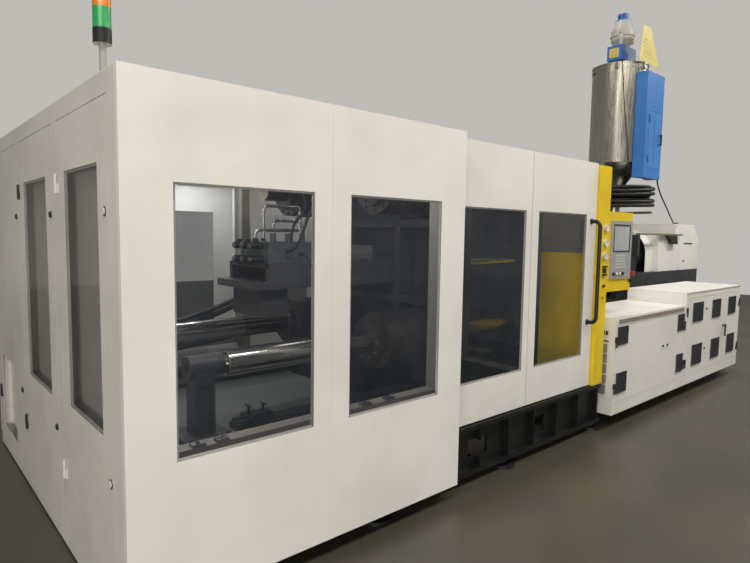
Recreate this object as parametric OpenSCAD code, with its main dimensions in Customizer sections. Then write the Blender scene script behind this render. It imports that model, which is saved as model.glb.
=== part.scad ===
// Two-platen injection moulding machine with a hopper dryer.
// Millimetres. The origin lies on the floor, at the middle of the machine.
// +X runs from the clamp end to the injection end, the operator stands at -Y.

/* [Overall] */
// Length from the clamp end face to the end of the injection bed
machine_l = 8760; // [8600:10:9200]
// Width over the front and rear guard panels
machine_w = 2864; // [2800:2:2960]
// Height of the clamp guard
guard_h = 2215; // [2200:5:2300]
// Height of the injection axis above the floor
axis_z = 1403; // [1395:1:1410]
// How far handles and hinges may stand proud of front and rear
proud = 34; // [30:1:50]

/* [Guard] */
// Height of the lower edge of the fixed panels
panel_z = 95; // [80:5:120]
// Width of the first front panel
panel_1_w = 971; // [940:1:1000]
// Width of the second front panel
panel_2_w = 972; // [940:1:1000]
// Depth of the folded edge of a fixed panel
panel_t = 30; // [25:1:40]
// Thickness of a window pane
pane_t = 8; // [6:1:10]
// Width of the lip behind a window pane
lip = 10; // [8:1:15]
// Height of the lower edge of the fixed windows
window_z = 693; // [650:1:720]
// Height of a fixed window
window_h = 1114; // [1000:1:1150]
// Gap between flush pieces that do not touch
seam = 3; // [2:0.5:5]

/* [Sliding doors] */
// Depth of the door plane behind the front panels
door_in = 105; // [95:1:120]
// Thickness of a sliding door
door_t = 40; // [35:1:45]
// Start of the sliding door, from the clamp end
door_x = 1880; // [1860:1:1900]
// Width of a sliding door
door_w = 1835; // [1800:1:1838]
// Height of the lower edge of a sliding door
door_z = 400; // [390:1:420]
// Height of a sliding door
door_h = 1805; // [1700:1:1810]
// Length of the bent handle
handle_l = 840; // [600:10:900]
// Diameter of the handle tube
handle_d = 30; // [25:1:36]

/* [End doors] */
// Thickness of an end door
end_t = 30; // [25:1:35]
// Height of the lower edge of the end doors
end_z = 45; // [40:1:60]
// Height of an end door
end_h = 2085; // [2000:5:2090]

/* [Clamp unit] */
// Diameter of a tie bar
bar_d = 160; // [150:1:170]
// Half of the distance between tie bar centres, across
bar_y = 556; // [550:1:565]
// Half of the distance between tie bar centres, upright
bar_z = 555; // [550:1:560]
// Radial gap round a bar where the moving platen slides on it
bar_gap = 0.5; // [0.4:0.05:1]
// Radial gap round a bar where it is held
bar_fit = 0.05; // [0.02:0.01:0.1]
// Half of the width of a platen
platen_y = 750; // [745:1:765]
// Half of the height of a platen
platen_z = 765; // [755:1:770]
// Mould face of the moving platen, from the clamp end, where it stands
moving_x = 2850; // [2800:1:2900]
// How far the moving platen opens from there
open_travel = 700; // [600:5:700]
// How far it closes from there
close_travel = 100; // [50:5:100]
// Thickness of the moving platen's plate
moving_t = 200; // [180:5:220]
// Mould face of the fixed platen, from the clamp end
fixed_x = 3640; // [3620:1:3660]
// Thickness of the fixed platen
fixed_t = 340; // [320:5:345]
// Radius of the locating bore for the mould's centring ring
locate_r = 80; // [75:1:90]
// Depth of the locating bore
locate_l = 60; // [50:1:80]
// Distance between the corner holes for the mould bolts
bolt_pitch = 700; // [650:5:710]
// Radius of a mould bolt hole
bolt_r = 10; // [8:0.5:12]
// Depth of a mould bolt hole
bolt_l = 60; // [40:5:80]

/* [Bed] */
// Height of the bed's deck under the clamp
deck_z = 430; // [420:1:440]
// Height of the guide rails on the deck
rail_h = 40; // [35:1:50]
// Height of a levelling foot
foot_h = 60; // [50:1:70]
// Height of the injection bed's deck
bench_z = 860; // [850:1:870]
// Half of the width of the injection bed
bed_y = 780; // [740:5:790]

/* [Injection unit] */
// Radius of the barrel
barrel_r = 115; // [105:1:125]
// Radius of the screw
screw_r = 45; // [40:1:50]
// Radial gap between screw and barrel
screw_gap = 0.08; // [0.04:0.01:0.1]
// Middle of the feed throat, from the clamp end
throat_x = 6715; // [6700:1:6730]
// Front of the drive housing, from the clamp end
housing_x = 7250; // [7240:1:7280]
// Half of the width of the drive housing
housing_y = 387; // [380:1:395]
// Wall of the sheet covers
cover_t = 6; // [4:1:8]

/* [Dryer] */
// Radius of the drying hopper
dryer_r = 335; // [325:1:340]
// Height of the hopper's cylinder above the floor
dryer_z = 2570; // [2560:5:2600]
// Length of the hopper's cylinder
dryer_h = 1220; // [1180:5:1240]

/* [Cabinets] */
// Start of the low cabinet, from the clamp end
cab_x = 3920; // [3915:1:3930]
// Width of the low cabinet
cab_1_w = 1510; // [1490:1:1520]
// Width of the high cabinet
cab_2_w = 1653; // [1640:1:1660]
// Depth of the cabinets
cab_d = 600; // [560:5:630]
// Height of the low cabinet's top
cab_1_top = 947; // [930:1:960]
// Height of the high cabinet's top
cab_2_top = 1067; // [1050:1:1080]
// Thickness of a cabinet door
leaf_t = 25; // [20:1:28]
// Sheet of the cabinet shells
shell_t = 20; // [12:1:25]

/* [Hidden] */
$fn = 48;
half_w = machine_w / 2;
// Hinges and locks stand this far out of the clamp end face
end_proud = 15;
// The end face lies so that the whole machine is centred on X = 0
end_x = -(machine_l - 2 * end_proud) / 2;
// Running clearance between pieces on different bodies
run = 0.3;
fixed_end = panel_1_w + panel_2_w;
// Frame behind the sliding doors
frame_in = door_in + door_t + 20;
frame_t = 80;
rail_y = 560;
rail_w = 110;
platen_low = axis_z - platen_z;
post_x = door_x + door_w + 7;
post_w = 158;
post_in = 75;
post_z = 395;
post_top = guard_h - 25;
wing_x = post_x + post_w;
wing_w = 422;
wing_z = 1163;
wing_top = 1830;
wing_t = 60;
cab_2_x = cab_x + cab_1_w;
cab_z = 120;
// Sheet between the cabinets and the guard, inside the front frame
inner_wall_w = half_w - platen_y - frame_in - frame_t - 20;
inner_wall_z = 1480;
knuckle_r = 7;
knuckle_h = 45;
pin_r = 3;
pin_fit = 0.06;
hinge_out = 8;
bed_end = 4150;
girder_y = half_w - 82;
girder_top = door_z - 10;
flange_w = 130;
flange_t = 30;
slide_z = bench_z + 50;
carriage_z = 1165;
coil_z = 1960;
coil_h = 400;
coil_in = 345;
coil_out = 495;

module at(x, y = 0, z = 0) {
    translate([end_x + x, y, z]) children();
}

// A box from its low corner and its size, X counted from the clamp end
module block(x, y, z, sx, sy, sz) {
    at(x, y, z) cube([sx, sy, sz]);
}

// A rod along X
module rod_x(x, y, z, r, l) {
    at(x, y, z) rotate([0, 90, 0]) cylinder(r = r, h = l);
}

// A rod along Y
module rod_y(x, y, z, r, l) {
    at(x, y, z) rotate([-90, 0, 0]) cylinder(r = r, h = l);
}

module mirror_y() {
    children();
    mirror([0, 1, 0]) children();
}

module both_y(y) {
    for (s = [-1, 1]) translate([0, s * y, 0]) children();
}

module at_bars() {
    for (s = [-1, 1]) for (v = [-1, 1]) translate([0, s * bar_y, axis_z + v * bar_z]) children();
}

// A bent round tube through a list of points, with ball corners
module pipe(points, r) {
    for (i = [0 : len(points) - 2]) {
        a = points[i];
        b = points[i + 1];
        d = b - a;
        l = norm(d);
        translate(a) rotate([0, acos(d[2] / l), atan2(d[1], d[0])]) cylinder(r = r, h = l, $fn = 24);
        translate(b) sphere(r = r, $fn = 24);
    }
}

// A sheet with a rebated window: the opening is a lip smaller than the pane
module window_cut(x, z, w, h, t, depth) {
    translate([x + lip, -1, z + lip]) cube([w - 2 * lip, t + 2, h - 2 * lip]);
    translate([x, -1, z]) cube([w, 1 + depth, h]);
}

module pane(x, z, w, h) {
    translate([x + run, 0, z + run]) cube([w - 2 * run, pane_t, h - 2 * run]);
}

// A folded sheet panel, facing -Y, with returned edges round it and its windows
module sheet_panel(w, h, t, windows) {
    skin = 3;
    difference() {
        cube([w, t, h]);
        difference() {
            translate([skin, skin, skin]) cube([w - 2 * skin, t, h - 2 * skin]);
            for (q = windows)
                translate([q[0] - skin, 0, q[1] - skin]) cube([q[2] + 2 * skin, pane_t + skin, q[3] + 2 * skin]);
        }
        for (q = windows) window_cut(q[0], q[1], q[2], q[3], t, pane_t);
    }
}

// Half of a hinge knuckle with its pin, for the frame
module knuckle_frame() {
    translate([0, 0, knuckle_h + 0.5]) cylinder(r = knuckle_r, h = knuckle_h);
    cylinder(r = pin_r, h = knuckle_h + 1);
    translate([-20, 0, knuckle_h + 0.5]) cube([20, hinge_out, knuckle_h]);
}

// The other half, for the door
module knuckle_door() {
    difference() {
        union() {
            cylinder(r = knuckle_r, h = knuckle_h);
            cube([20, hinge_out, knuckle_h]);
        }
        translate([0, 0, -1]) cylinder(r = pin_r + pin_fit, h = knuckle_h + 2);
        translate([-knuckle_r - 1, hinge_out - 0.5, -1]) cube([knuckle_r + 1 + seam, 2, knuckle_h + 2]);
    }
}

// Bed and feet

module clamp_bed() {
    x0 = 60;
    l = bed_end - x0;
    girder_l = cab_x - 40 - x0;
    web = 20;
    color("#1c1d1f") {
        difference() {
            union() {
                mirror_y() {
                    block(x0, -girder_y, foot_h, girder_l, flange_w, flange_t);
                    block(x0, -girder_y, girder_top - flange_t, girder_l, flange_w, flange_t);
                    block(x0, -girder_y + 50, foot_h, girder_l, web, girder_top - foot_h);
                    for (i = [0 : 12]) block(x0 + 30 + i * (girder_l - 80) / 12, -girder_y + 5, foot_h + 20, 16, 120, girder_top - foot_h - 40);
                    block(x0, -rail_y - 120, foot_h, l, 240, deck_z - foot_h);
                }
                for (x = [x0, 1100, 1780, 3500]) block(x, -girder_y + 60, foot_h, 200, 2 * girder_y - 120, 260);
                block(bed_end - 200, -bed_y, foot_h, 200, 2 * bed_y, 260);
                block(x0, -bed_y, deck_z - 30, 1900, 2 * bed_y, 30);
                block(3500, -bed_y, deck_z - 30, bed_end - 3500, 2 * bed_y, 30);
            }
            for (x = [1300, 2200, 2900]) block(x, -2 * bed_y, foot_h + 90, 200, 4 * bed_y, 120);
        }
        mirror_y() block(900, -rail_y - rail_w / 2, deck_z, 2350, rail_w, rail_h);
        block(hose_low_x, hose_y - 40, deck_z, 90, 80, 180);
        block(hose_high_x, hose_y - 24, deck_z, 60, 48, hose_high_z - deck_z + 40);
        mirror_y() block(fixed_x + 30, -platen_y + 60, deck_z, fixed_t - 60, 280, platen_low - deck_z);
    }
}

module injection_bed() {
    x0 = bed_end;
    l = machine_l - end_proud - x0;
    pitch = (l - 1035) / 4;
    wall = 30;
    color("#1f2022") {
        difference() {
            block(x0, -bed_y, foot_h, l, 2 * bed_y, bench_z - foot_h);
            block(x0 + wall, -bed_y + wall, foot_h - 1, l - 2 * wall, 2 * bed_y - 2 * wall, bench_z - foot_h - wall + 1);
            mirror_y() for (i = [0 : 4]) block(x0 + 150 + i * pitch, -bed_y - 1, 250, 640, wall + 2, 380);
        }
        mirror_y() block(6200, -340, bench_z, l + x0 - 6260, 80, 50);
        mirror_y() for (x = [x0 + 15, for (i = [0 : 2]) x0 + 850 + i * pitch]) block(x, -half_w + cab_d, 400, 120, half_w - cab_d - bed_y, 160);
    }
}

module levelling_feet() {
    color("#262729")
        for (x = [200, 1400, 2600, 3850, 5300, 6900, machine_l - 260]) mirror_y() {
            at(x, x < bed_end ? -girder_y + flange_w / 2 : -bed_y + 15, 0) {
                cylinder(r = 90, h = 22);
                cylinder(r = 24, h = foot_h);
                translate([0, 0, 30]) cylinder(r = 38, h = 22, $fn = 6);
            }
        }
}

// Guard

module end_opening(y, w) {
    translate([-1, y, end_z]) cube([60, w, end_h]);
}

// Margin beside the outer end doors, and the start of the rear one from the front
end_side = 129;
end_rear = 1900;
door_1_y = end_side - half_w;
door_1_w = 775;
door_2_y = 1005 - half_w;
door_2_w = 825;
door_3_y = end_rear - half_w;
door_3_w = machine_w - end_rear - end_side;
end_doors = [[door_1_y, door_1_w], [door_2_y, door_2_w], [door_3_y, door_3_w]];
end_hinge_z = [380, 1790];

module guard_frame() {
    color("#e9e6de") {
        difference() {
            block(0, -half_w + panel_t, 13, 60, machine_w - 2 * panel_t, guard_h - 13);
            at(0) for (d = end_doors) end_opening(d[0], d[1]);
        }
        mirror_y() {
            block(60, -half_w + frame_in, guard_h - 95, wing_x - 60, frame_t, 91);
            block(60, -half_w + frame_in, 585, fixed_end - 60, frame_t, 80);
            block(60, -half_w + panel_t, panel_z, fixed_end - 60, half_w - panel_t - girder_y, 85);
            for (x = [60, 1050, fixed_end - 40, wing_x - frame_t])
                block(x, -half_w + frame_in, girder_top, frame_t, frame_t, guard_h - girder_top - 90);
            block(wing_x - 60, -half_w + frame_in + frame_t, inner_wall_z, 4, inner_wall_w, guard_h - inner_wall_z - 40);
        }
        block(fixed_end - 40, -half_w + frame_in, guard_h - 40, frame_t, machine_w - 2 * frame_in, 36);
    }
    color("#26282b")
        at(0) for (d = end_doors) for (z = end_hinge_z)
            translate([-hinge_out, d[0] + d[1], z]) rotate([0, 0, -90]) knuckle_frame();
}

front_windows = [[200, window_z - panel_z, 667, window_h]];
middle_windows = [[1082 - panel_1_w, window_z - panel_z, 659, window_h]];

module front_panels() {
    color("#eeebe4") {
        at(0, -half_w, panel_z) sheet_panel(panel_1_w - 1, guard_h - panel_z, panel_t, front_windows);
        at(panel_1_w, -half_w, panel_z) sheet_panel(panel_2_w, guard_h - panel_z, panel_t, middle_windows);
    }
}

module rear_panels() {
    mirror([0, 1, 0]) front_panels();
}

module guard_panes() {
    color("#40464a", 0.5) mirror_y() {
        for (q = front_windows) at(0, -half_w, panel_z) pane(q[0], q[1], q[2], q[3]);
        for (q = middle_windows) at(panel_1_w, -half_w, panel_z) pane(q[0], q[1], q[2], q[3]);
    }
}

module roof_panel() {
    color("#e6e3dc") {
        difference() {
            block(0, -half_w, guard_h, fixed_end, machine_w, 4);
            for (i = [0 : 2]) block(230 + i * 430, -half_w + 300, guard_h - 1, 350, machine_w - 600, 6);
        }
        for (i = [0 : 3]) block(150 + i * 430, -half_w + 250, guard_h + 4, 60, machine_w - 500, 12);
    }
}

// Sliding doors: windows are given in the door's own X and Z
door_windows = [[179, 265, 674, 1131], [1009, 265, 673, 1131]];

module sliding_door() {
    at(door_x, -half_w + door_in, door_z) {
        sheet_panel(door_w, door_h, door_t, door_windows);
        for (x = [150, door_w - 310]) translate([x, 2, door_h - 30]) cube([160, door_t + 18 - run, 22]);
    }
}

handle_x = door_w - 80;
handle_z = 516;

module door_handle() {
    r = handle_d / 2;
    out = door_in - 14 - r;
    bend = 45;
    at(door_x + handle_x, -half_w + door_in, door_z + handle_z) {
        for (z = [r, handle_l - r]) translate([0, 0, z]) rotate([90, 0, 0]) {
            cylinder(r = r, h = out - bend);
            cylinder(r = r + 8, h = 6);
        }
        translate([0, -out, r + bend]) cylinder(r = r, h = handle_l - 2 * r - 2 * bend);
        for (q = [[r + bend, -90], [handle_l - r - bend, 180]])
            translate([0, bend - out, q[0]]) rotate([0, 90, 0]) rotate([0, 0, q[1]])
                rotate_extrude(angle = 90) translate([bend, 0]) circle(r = r);
    }
}

module front_door() {
    color("#efece5") sliding_door();
}

module front_door_panes() {
    color("#40464a", 0.5) at(door_x, -half_w + door_in, door_z)
        for (q = door_windows) pane(q[0], q[1], q[2], q[3]);
}

module front_door_handle() {
    color("#1b1c1e") intersection() {
        door_handle();
        block(door_x, -half_w - proud, 0, door_w, proud + door_in, guard_h);
    }
}

module rear_door() {
    mirror([0, 1, 0]) {
        front_door();
        front_door_handle();
    }
}

module rear_door_panes() {
    mirror([0, 1, 0]) front_door_panes();
}

// End doors, facing -X

module end_leaf(d, window) {
    skin = 3;
    w = d[1] - 2 * seam;
    at(0, d[0] + seam, end_z + seam) difference() {
        cube([end_t, w, end_h - 2 * seam]);
        difference() {
            translate([skin, skin, skin]) cube([end_t, w - 2 * skin, end_h - 2 * seam - 2 * skin]);
            if (len(window) > 0)
                translate([0, window[0] - skin, window[1] - skin]) cube([pane_t + skin, window[2] + 2 * skin, window[3] + 2 * skin]);
        }
        if (len(window) > 0) {
            translate([-1, window[0] + lip, window[1] + lip]) cube([end_t + 2, window[2] - 2 * lip, window[3] - 2 * lip]);
            translate([-1, window[0], window[1]]) cube([1 + pane_t, window[2], window[3]]);
        }
    }
}

module end_fittings(d) {
    for (z = end_hinge_z) at(-hinge_out, d[0] + d[1], z) rotate([0, 0, -90]) knuckle_door();
    for (z = [600, 1690]) rod_x(-9, d[0] + 45, z, 14, 9);
}

end_window_1 = [132, 727, 511, 1110];
end_window_2 = [146, 697, 556, 1140];

module end_pane(d, q) {
    at(0, d[0] + seam + q[0] + run, end_z + seam + q[1] + run)
        cube([pane_t, q[2] - 2 * run, q[3] - 2 * run]);
}

module end_door_front() {
    color("#e2dfd8") end_leaf(end_doors[0], end_window_1);
    color("#26282b") end_fittings(end_doors[0]);
}

module end_pane_front() {
    color("#40464a", 0.5) end_pane(end_doors[0], end_window_1);
}

module end_door_middle() {
    color("#e2dfd8") end_leaf(end_doors[1], end_window_2);
    color("#26282b") end_fittings(end_doors[1]);
}

module end_pane_middle() {
    color("#40464a", 0.5) end_pane(end_doors[1], end_window_2);
}

module end_door_rear() {
    color("#e2dfd8") difference() {
        end_leaf(end_doors[2], []);
        block(-1, door_3_y + 305, 175, end_t + 2, door_3_w - 340, 530);
    }
    color("#26282b") end_fittings(end_doors[2]);
}

// Operator post, wing and panel

module operator_post() {
    color("#e8c62c") {
        difference() {
            block(post_x, -half_w + post_in, post_z, post_w, frame_in - post_in, post_top - post_z);
            block(post_x + 4, -half_w + post_in + 4, post_z - 1, post_w - 8, frame_in - post_in - 8, post_top - post_z - 3);
        }
        block(wing_x - 60, -half_w + frame_in + frame_t, deck_z + 2, 4, inner_wall_w, inner_wall_z - deck_z - 2);
    }
}

module operator_wing() {
    color("#e8c62c") difference() {
        block(wing_x, -half_w + post_in, wing_z, wing_w, wing_t, wing_top - wing_z);
        block(wing_x + 30, -half_w + post_in - 1, wing_z + 107, 362, 21, 486);
        for (p = switch_places) rod_y(wing_x + p[0], -half_w + post_in - 1, p[1], p[2] + run, 26);
    }
}

bezel_x = wing_x + 30;
bezel_z = wing_z + 107;
// Emergency stop and key switch: X from the wing, height, radius of the stem
switch_places = [[406, 1310, 11], [400, 1243, 9]];
button_z = 1313;
button_r = 13;
button_x = [45, 100, 155, 210];

module hmi_housing() {
    color("#a9aaab") difference() {
        union() {
            block(bezel_x + run, -half_w + post_in - 14, bezel_z + run, 362 - 2 * run, 34, 486 - 2 * run);
            for (j = [0 : 4]) for (i = [0 : 5]) block(bezel_x + 75 + i * 30, -half_w + post_in - 16, bezel_z + 90 + j * 24, 22, 4, 16);
        }
        block(bezel_x + 25, -half_w + post_in - 15, bezel_z + 222, 309, 6, 235);
        for (x = button_x) rod_y(bezel_x + x, -half_w + post_in - 20, button_z, button_r + run, 30);
    }
}

module hmi_screen() {
    color("#6d7478") difference() {
        block(bezel_x + 25 + run, -half_w + post_in - 13, bezel_z + 222 + run, 309 - 2 * run, 4, 235 - 2 * run);
        block(bezel_x + 45, -half_w + post_in - 14, bezel_z + 236, 269, 2, 205);
    }
}

module push_button(i) {
    x = bezel_x + button_x[i];
    rod_y(x, -half_w + post_in - 24, button_z, button_r, 22);
    rod_y(x, -half_w + post_in - 24, button_z, button_r - 3, 28);
}

module push_button_1() {
    color("#1d1e20") push_button(0);
}

module push_button_2() {
    color("#e6e6e2") push_button(1);
}

module push_button_3() {
    color("#e6e6e2") push_button(2);
}

module push_button_4() {
    color("#1d1e20") push_button(3);
}

module emergency_stop() {
    p = switch_places[0];
    color("#c4241f") {
        rod_y(wing_x + p[0], -half_w + post_in - 42, p[1], 20, 14);
        rod_y(wing_x + p[0], -half_w + post_in - 30, p[1], p[2], 42);
    }
}

module key_switch() {
    p = switch_places[1];
    color("#2a2b2d") {
        rod_y(wing_x + p[0], -half_w + post_in - 14, p[1], 14, 12);
        rod_y(wing_x + p[0], -half_w + post_in - 14, p[1], p[2], 32);
        block(wing_x + p[0] - 2, -half_w + post_in - 30, p[1] - 11, 4, 18, 22);
    }
}

module gauges() {
    gx = post_x + 100;
    color("#d9dadb") for (z = [1464, 1570, 1692]) difference() {
        rod_y(gx, -half_w + post_in - 18, z, 31, 18);
        rod_y(gx, -half_w + post_in - 19, z, 27, 4);
    }
    color("#1d1e20") {
        for (z = [1309, 1377]) block(gx - 32, -half_w + post_in - 14, z - 7, 64, 14, 14);
        block(gx - 24, -half_w + post_in - 10, 1322, 48, 10, 42);
        rod_y(gx - 6, -half_w + post_in - 16, 1218, 12, 16);
        rod_y(gx - 8, -half_w + post_in - 8, 1119, 7, 8);
    }
}

// Clamp unit

bar_start = 620;
bar_end = fixed_x + fixed_t + 150;

module tie_bars() {
    color("#b9bbbd") at_bars() {
        rod_x(bar_start, 0, 0, bar_d / 2, bar_end - bar_start);
        rod_x(fixed_x + fixed_t, 0, 0, 150, 110);
        rod_x(fixed_x + fixed_t + 110, 0, 0, 120, 20);
    }
}

module bar_pedestals() {
    z0 = deck_z;
    bz = axis_z - bar_z;
    color("#4c4d50") both_y(bar_y) difference() {
        union() {
            block(560, -170, z0, 300, 340, 40);
            block(610, -90, z0 + 40, 180, 180, bz - z0 - 40);
            rod_x(600, 0, bz, 100, 200);
            block(600, -100, bz - 60, 200, 200, 60);
            for (x = [590, 830]) for (y = [-140, 140]) at(x, y, z0 + 40) cylinder(r = 16, h = 18, $fn = 6);
        }
        rod_x(bar_start - 1, 0, bz, bar_d / 2 + bar_fit, 300);
        rod_x(560, 0, bz, 40, 100);
        for (s = [-1, 1]) block(640, s * 90 - 10, z0 + 80, 120, 20, bz - z0 - 210);
    }
}

module bolt_holes(x, dir) {
    for (y = [-1, 1]) for (z = [-1, 1])
        rod_x(dir > 0 ? x - 1 : x - bolt_l, y * bolt_pitch / 2, axis_z + z * bolt_pitch / 2, bolt_r, bolt_l + 1);
}

// Hoses of the clamp: they run from a block on the deck up to a post
hose_y = 305;
hose_low_x = 420;
hose_high_x = 1600;
hose_high_z = 1200;
cyl_y = 650;
cyl_rod_r = 35;
carriage_cyl_y = 300;

module fixed_platen() {
    color("#4a4c4f") difference() {
        union() {
            block(fixed_x, -platen_y, platen_low, fixed_t * 0.55, 2 * platen_y, 2 * platen_z);
            block(fixed_x, -platen_y + 200, platen_low, fixed_t, 2 * platen_y - 400, 2 * platen_z);
            block(fixed_x, -platen_y, platen_low + 200, fixed_t, 2 * platen_y, 2 * platen_z - 400);
            at_bars() rod_x(fixed_x, 0, 0, 175, fixed_t);
        }
        at_bars() rod_x(fixed_x - 1, 0, 0, bar_d / 2 + bar_fit, fixed_t + 2);
        rod_x(fixed_x - 1, 0, axis_z, locate_r, fixed_t);
        rod_x(fixed_x + locate_l, 0, axis_z, 155, fixed_t);
        bolt_holes(fixed_x, 1);
        both_y(cyl_y) rod_x(fixed_x - 1, 0, axis_z, cyl_rod_r + 1, fixed_t + 2);
        for (x = [60, 260]) for (y = [-200, 200]) at(fixed_x + x, y, axis_z + platen_z - 60) cylinder(r = 10, h = 61);
    }
}

module cylinder_barrels() {
    x0 = fixed_x + fixed_t;
    cap_l = 60;
    // The piston's travel, the piston and both end caps
    l = open_travel + close_travel + 160 + cap_l;
    color("#3b3d40") {
        both_y(cyl_y) difference() {
            union() {
                rod_x(x0, 0, axis_z, 62, l);
                rod_x(x0, 0, axis_z, 85, 40);
                rod_x(x0 + l - cap_l, 0, axis_z, 72, cap_l);
            }
            rod_x(x0 - 1, 0, axis_z, cyl_rod_r + 1, l - cap_l + 1);
        }
        for (s = [-1, 1]) difference() {
            union() {
                rod_x(x0, s * carriage_cyl_y, axis_z, 50, 600);
                rod_x(x0, s * carriage_cyl_y, axis_z, 70, 30);
            }
            rod_x(x0 + 30, s * carriage_cyl_y, axis_z, 26, 571);
        }
    }
}

// The ejector's rod and the two pins that guide its plate
ejector_r = 30;
pin_y = 150;
guide_r = 18;
// Ribs of the moving platen, the locking units on them, and the cradle of the clamp's hydraulics behind
rib_l = 170;
lock_l = 480;
lock_r = 200;
cradle_y = 275;
cradle_l = 1230;
cradle_z = 1150;

module moving_platen() {
    x0 = moving_x - moving_t;
    color("#4a4c4f") {
        difference() {
            union() {
                block(x0, -platen_y, platen_low, moving_t, 2 * platen_y, 2 * platen_z);
                for (y = [-330, 270]) block(x0 - rib_l, y, platen_low + 60, rib_l, 60, 2 * platen_z - 120);
                for (z = [-330, 270]) block(x0 - rib_l, -platen_y + 60, axis_z + z, rib_l, 2 * platen_y - 120, 60);
                at_bars() rod_x(x0 - rib_l, 0, 0, lock_r + 12, rib_l);
                both_y(rail_y) block(x0 - rib_l, -90, deck_z + rail_h + run, rib_l + moving_t, 180, platen_low - deck_z - rail_h - run);
                for (y = [-cradle_y, cradle_y - 35]) block(x0 - rib_l - cradle_l, y, cradle_z, cradle_l, 35, 280);
                block(x0 - rib_l - cradle_l, -cradle_y, cradle_z, cradle_l, 2 * cradle_y, 30);
                for (x = [1, 0.5]) block(x0 - rib_l - cradle_l * x, -cradle_y, cradle_z, 40, 2 * cradle_y, 80);
            }
            at_bars() rod_x(x0 - rib_l - 1, 0, 0, bar_d / 2 + bar_gap, moving_t + rib_l + 2);
            rod_x(x0 - 200, 0, axis_z, ejector_r + bar_gap, moving_t + 201);
            bolt_holes(moving_x, -1);
        }
        both_y(pin_y) rod_x(x0 - 420, 0, axis_z, guide_r, 421);
    }
}

module locking_units() {
    x0 = moving_x - moving_t - rib_l;
    color("#5a5c60") at_bars() difference() {
        union() {
            rod_x(x0 - lock_l, 0, 0, lock_r, lock_l);
            rod_x(x0 - 90, 0, 0, lock_r + 12, 90);
            rod_x(x0 - lock_l - 50, 0, 0, lock_r - 55, 50);
            for (s = [-1, 1]) block(x0 - lock_l + 90, s * lock_r - 25, -60, 150, 50, 120);
            for (i = [0 : 11]) rotate([i * 30, 0, 0]) rod_x(x0 - lock_l - 14, 0, lock_r - 25, 11, 15);
        }
        rod_x(x0 - lock_l - 51, 0, 0, bar_d / 2 + bar_gap, lock_l + 52);
    }
}

module clamp_hydraulics() {
    x0 = moving_x - moving_t - rib_l - cradle_l;
    x = x0 + 130;
    y = -cradle_y + 15;
    z = cradle_z + 280;
    color("#3a3c3f") {
        block(x, y, z, 240, 220, 110);
        for (k = [0 : 2]) for (v = [28, 82]) rod_x(x - 90, y + 40 + k * 70, z + v, 24, 90);
        for (k = [0 : 1]) at(x + 70 + k * 90, y + 60, z + 110) cylinder(r = 20, h = 60);
    }
    color("#c3c5c7") at(0) {
        pipe([[x + 30, y + 150, z + 105], [x + 30, y + 150, z + 200], [x + 360, y + 150, z + 200],
            [x + 360, y + 150, z + 330], [x + 100, y + 150, z + 330], [x + 100, y + 150, z + 105]], 12);
        pipe([[x + 170, y + 190, z + 105], [x + 170, y + 190, z + 280], [x + 420, y + 190, z + 280],
            [x + 420, y + 190, z - 20]], 12);
    }
}

module ejector() {
    x0 = moving_x - moving_t - rib_l - 200;
    color("#8e9194") difference() {
        union() {
            block(x0, -230, axis_z - 120, 40, 460, 240);
            rod_x(x0, 0, axis_z, ejector_r, 520);
            rod_x(x0 - 20, 0, axis_z, 55, 20);
        }
        both_y(pin_y) rod_x(x0 - 1, 0, axis_z, guide_r + bar_gap, 60);
    }
}

module travel_rods() {
    color("#c6c8ca") both_y(cyl_y) rod_x(moving_x, 0, axis_z, cyl_rod_r, fixed_x + fixed_t + 80 + open_travel - moving_x);
}

// Injection unit, riding on its bed

barrel_x = 4150;
nozzle_x = 3900;
carriage_x = 6420;
carriage_end = machine_l - 70;

module injection_carriage() {
    color("#37393c") difference() {
        union() {
            block(carriage_x, -housing_y, slide_z + run, carriage_end - carriage_x, 2 * housing_y, carriage_z - slide_z - run);
            block(throat_x - 235, -240, carriage_z, 470, 480, 475);
            rod_x(throat_x + 235, 0, axis_z, 255, 100);
            for (i = [0 : 11]) rotate_x_ring(i, 12) rod_x(throat_x + 335, 0, 222, 12, 12);
            for (s = [-1, 1]) block(carriage_x, s * carriage_cyl_y - 70, carriage_z, 70, 140, axis_z - carriage_z + 60);
            block(throat_x - 235, -housing_y - 63, 1385, 60, housing_y - 170, 268);
            for (s = [-1, 1]) rod_x(fixed_x + fixed_t + 330, s * carriage_cyl_y, axis_z, 25, carriage_x - fixed_x - fixed_t - 310);
        }
        rod_x(throat_x - 236, 0, axis_z, barrel_r + bar_fit, 300);
        rod_x(throat_x, 0, axis_z, 62, 400);
        at(throat_x, 0, axis_z) cylinder(r = 45, h = 300);
        block(6600, -housing_y + 120, slide_z - 1, carriage_end - 6790, 2 * housing_y - 240, carriage_z - slide_z - 40);
    }
}

module rotate_x_ring(i, n) {
    translate([0, 0, axis_z]) rotate([i * 360 / n, 0, 0]) children();
}

module barrel() {
    l = throat_x + 60 - barrel_x;
    color("#85878a") difference() {
        union() {
            rod_x(barrel_x, 0, axis_z, barrel_r, l);
            rod_x(barrel_x - 60, 0, axis_z, barrel_r - 25, 61);
            rod_x(nozzle_x + 50, 0, axis_z, 45, barrel_x - nozzle_x - 110);
            rod_x(nozzle_x, 0, axis_z, 28, 51);
            for (i = [0 : 7]) rod_x(barrel_x + 40 + i * 270, 0, axis_z, barrel_r + 12, 230);
        }
        rod_x(barrel_x, 0, axis_z, screw_r + screw_gap, l + 1);
        rod_x(nozzle_x - 1, 0, axis_z, 6, 300);
        at(throat_x, 0, axis_z) cylinder(r = 45, h = 300);
    }
}

drive_x = throat_x + 370;

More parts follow.
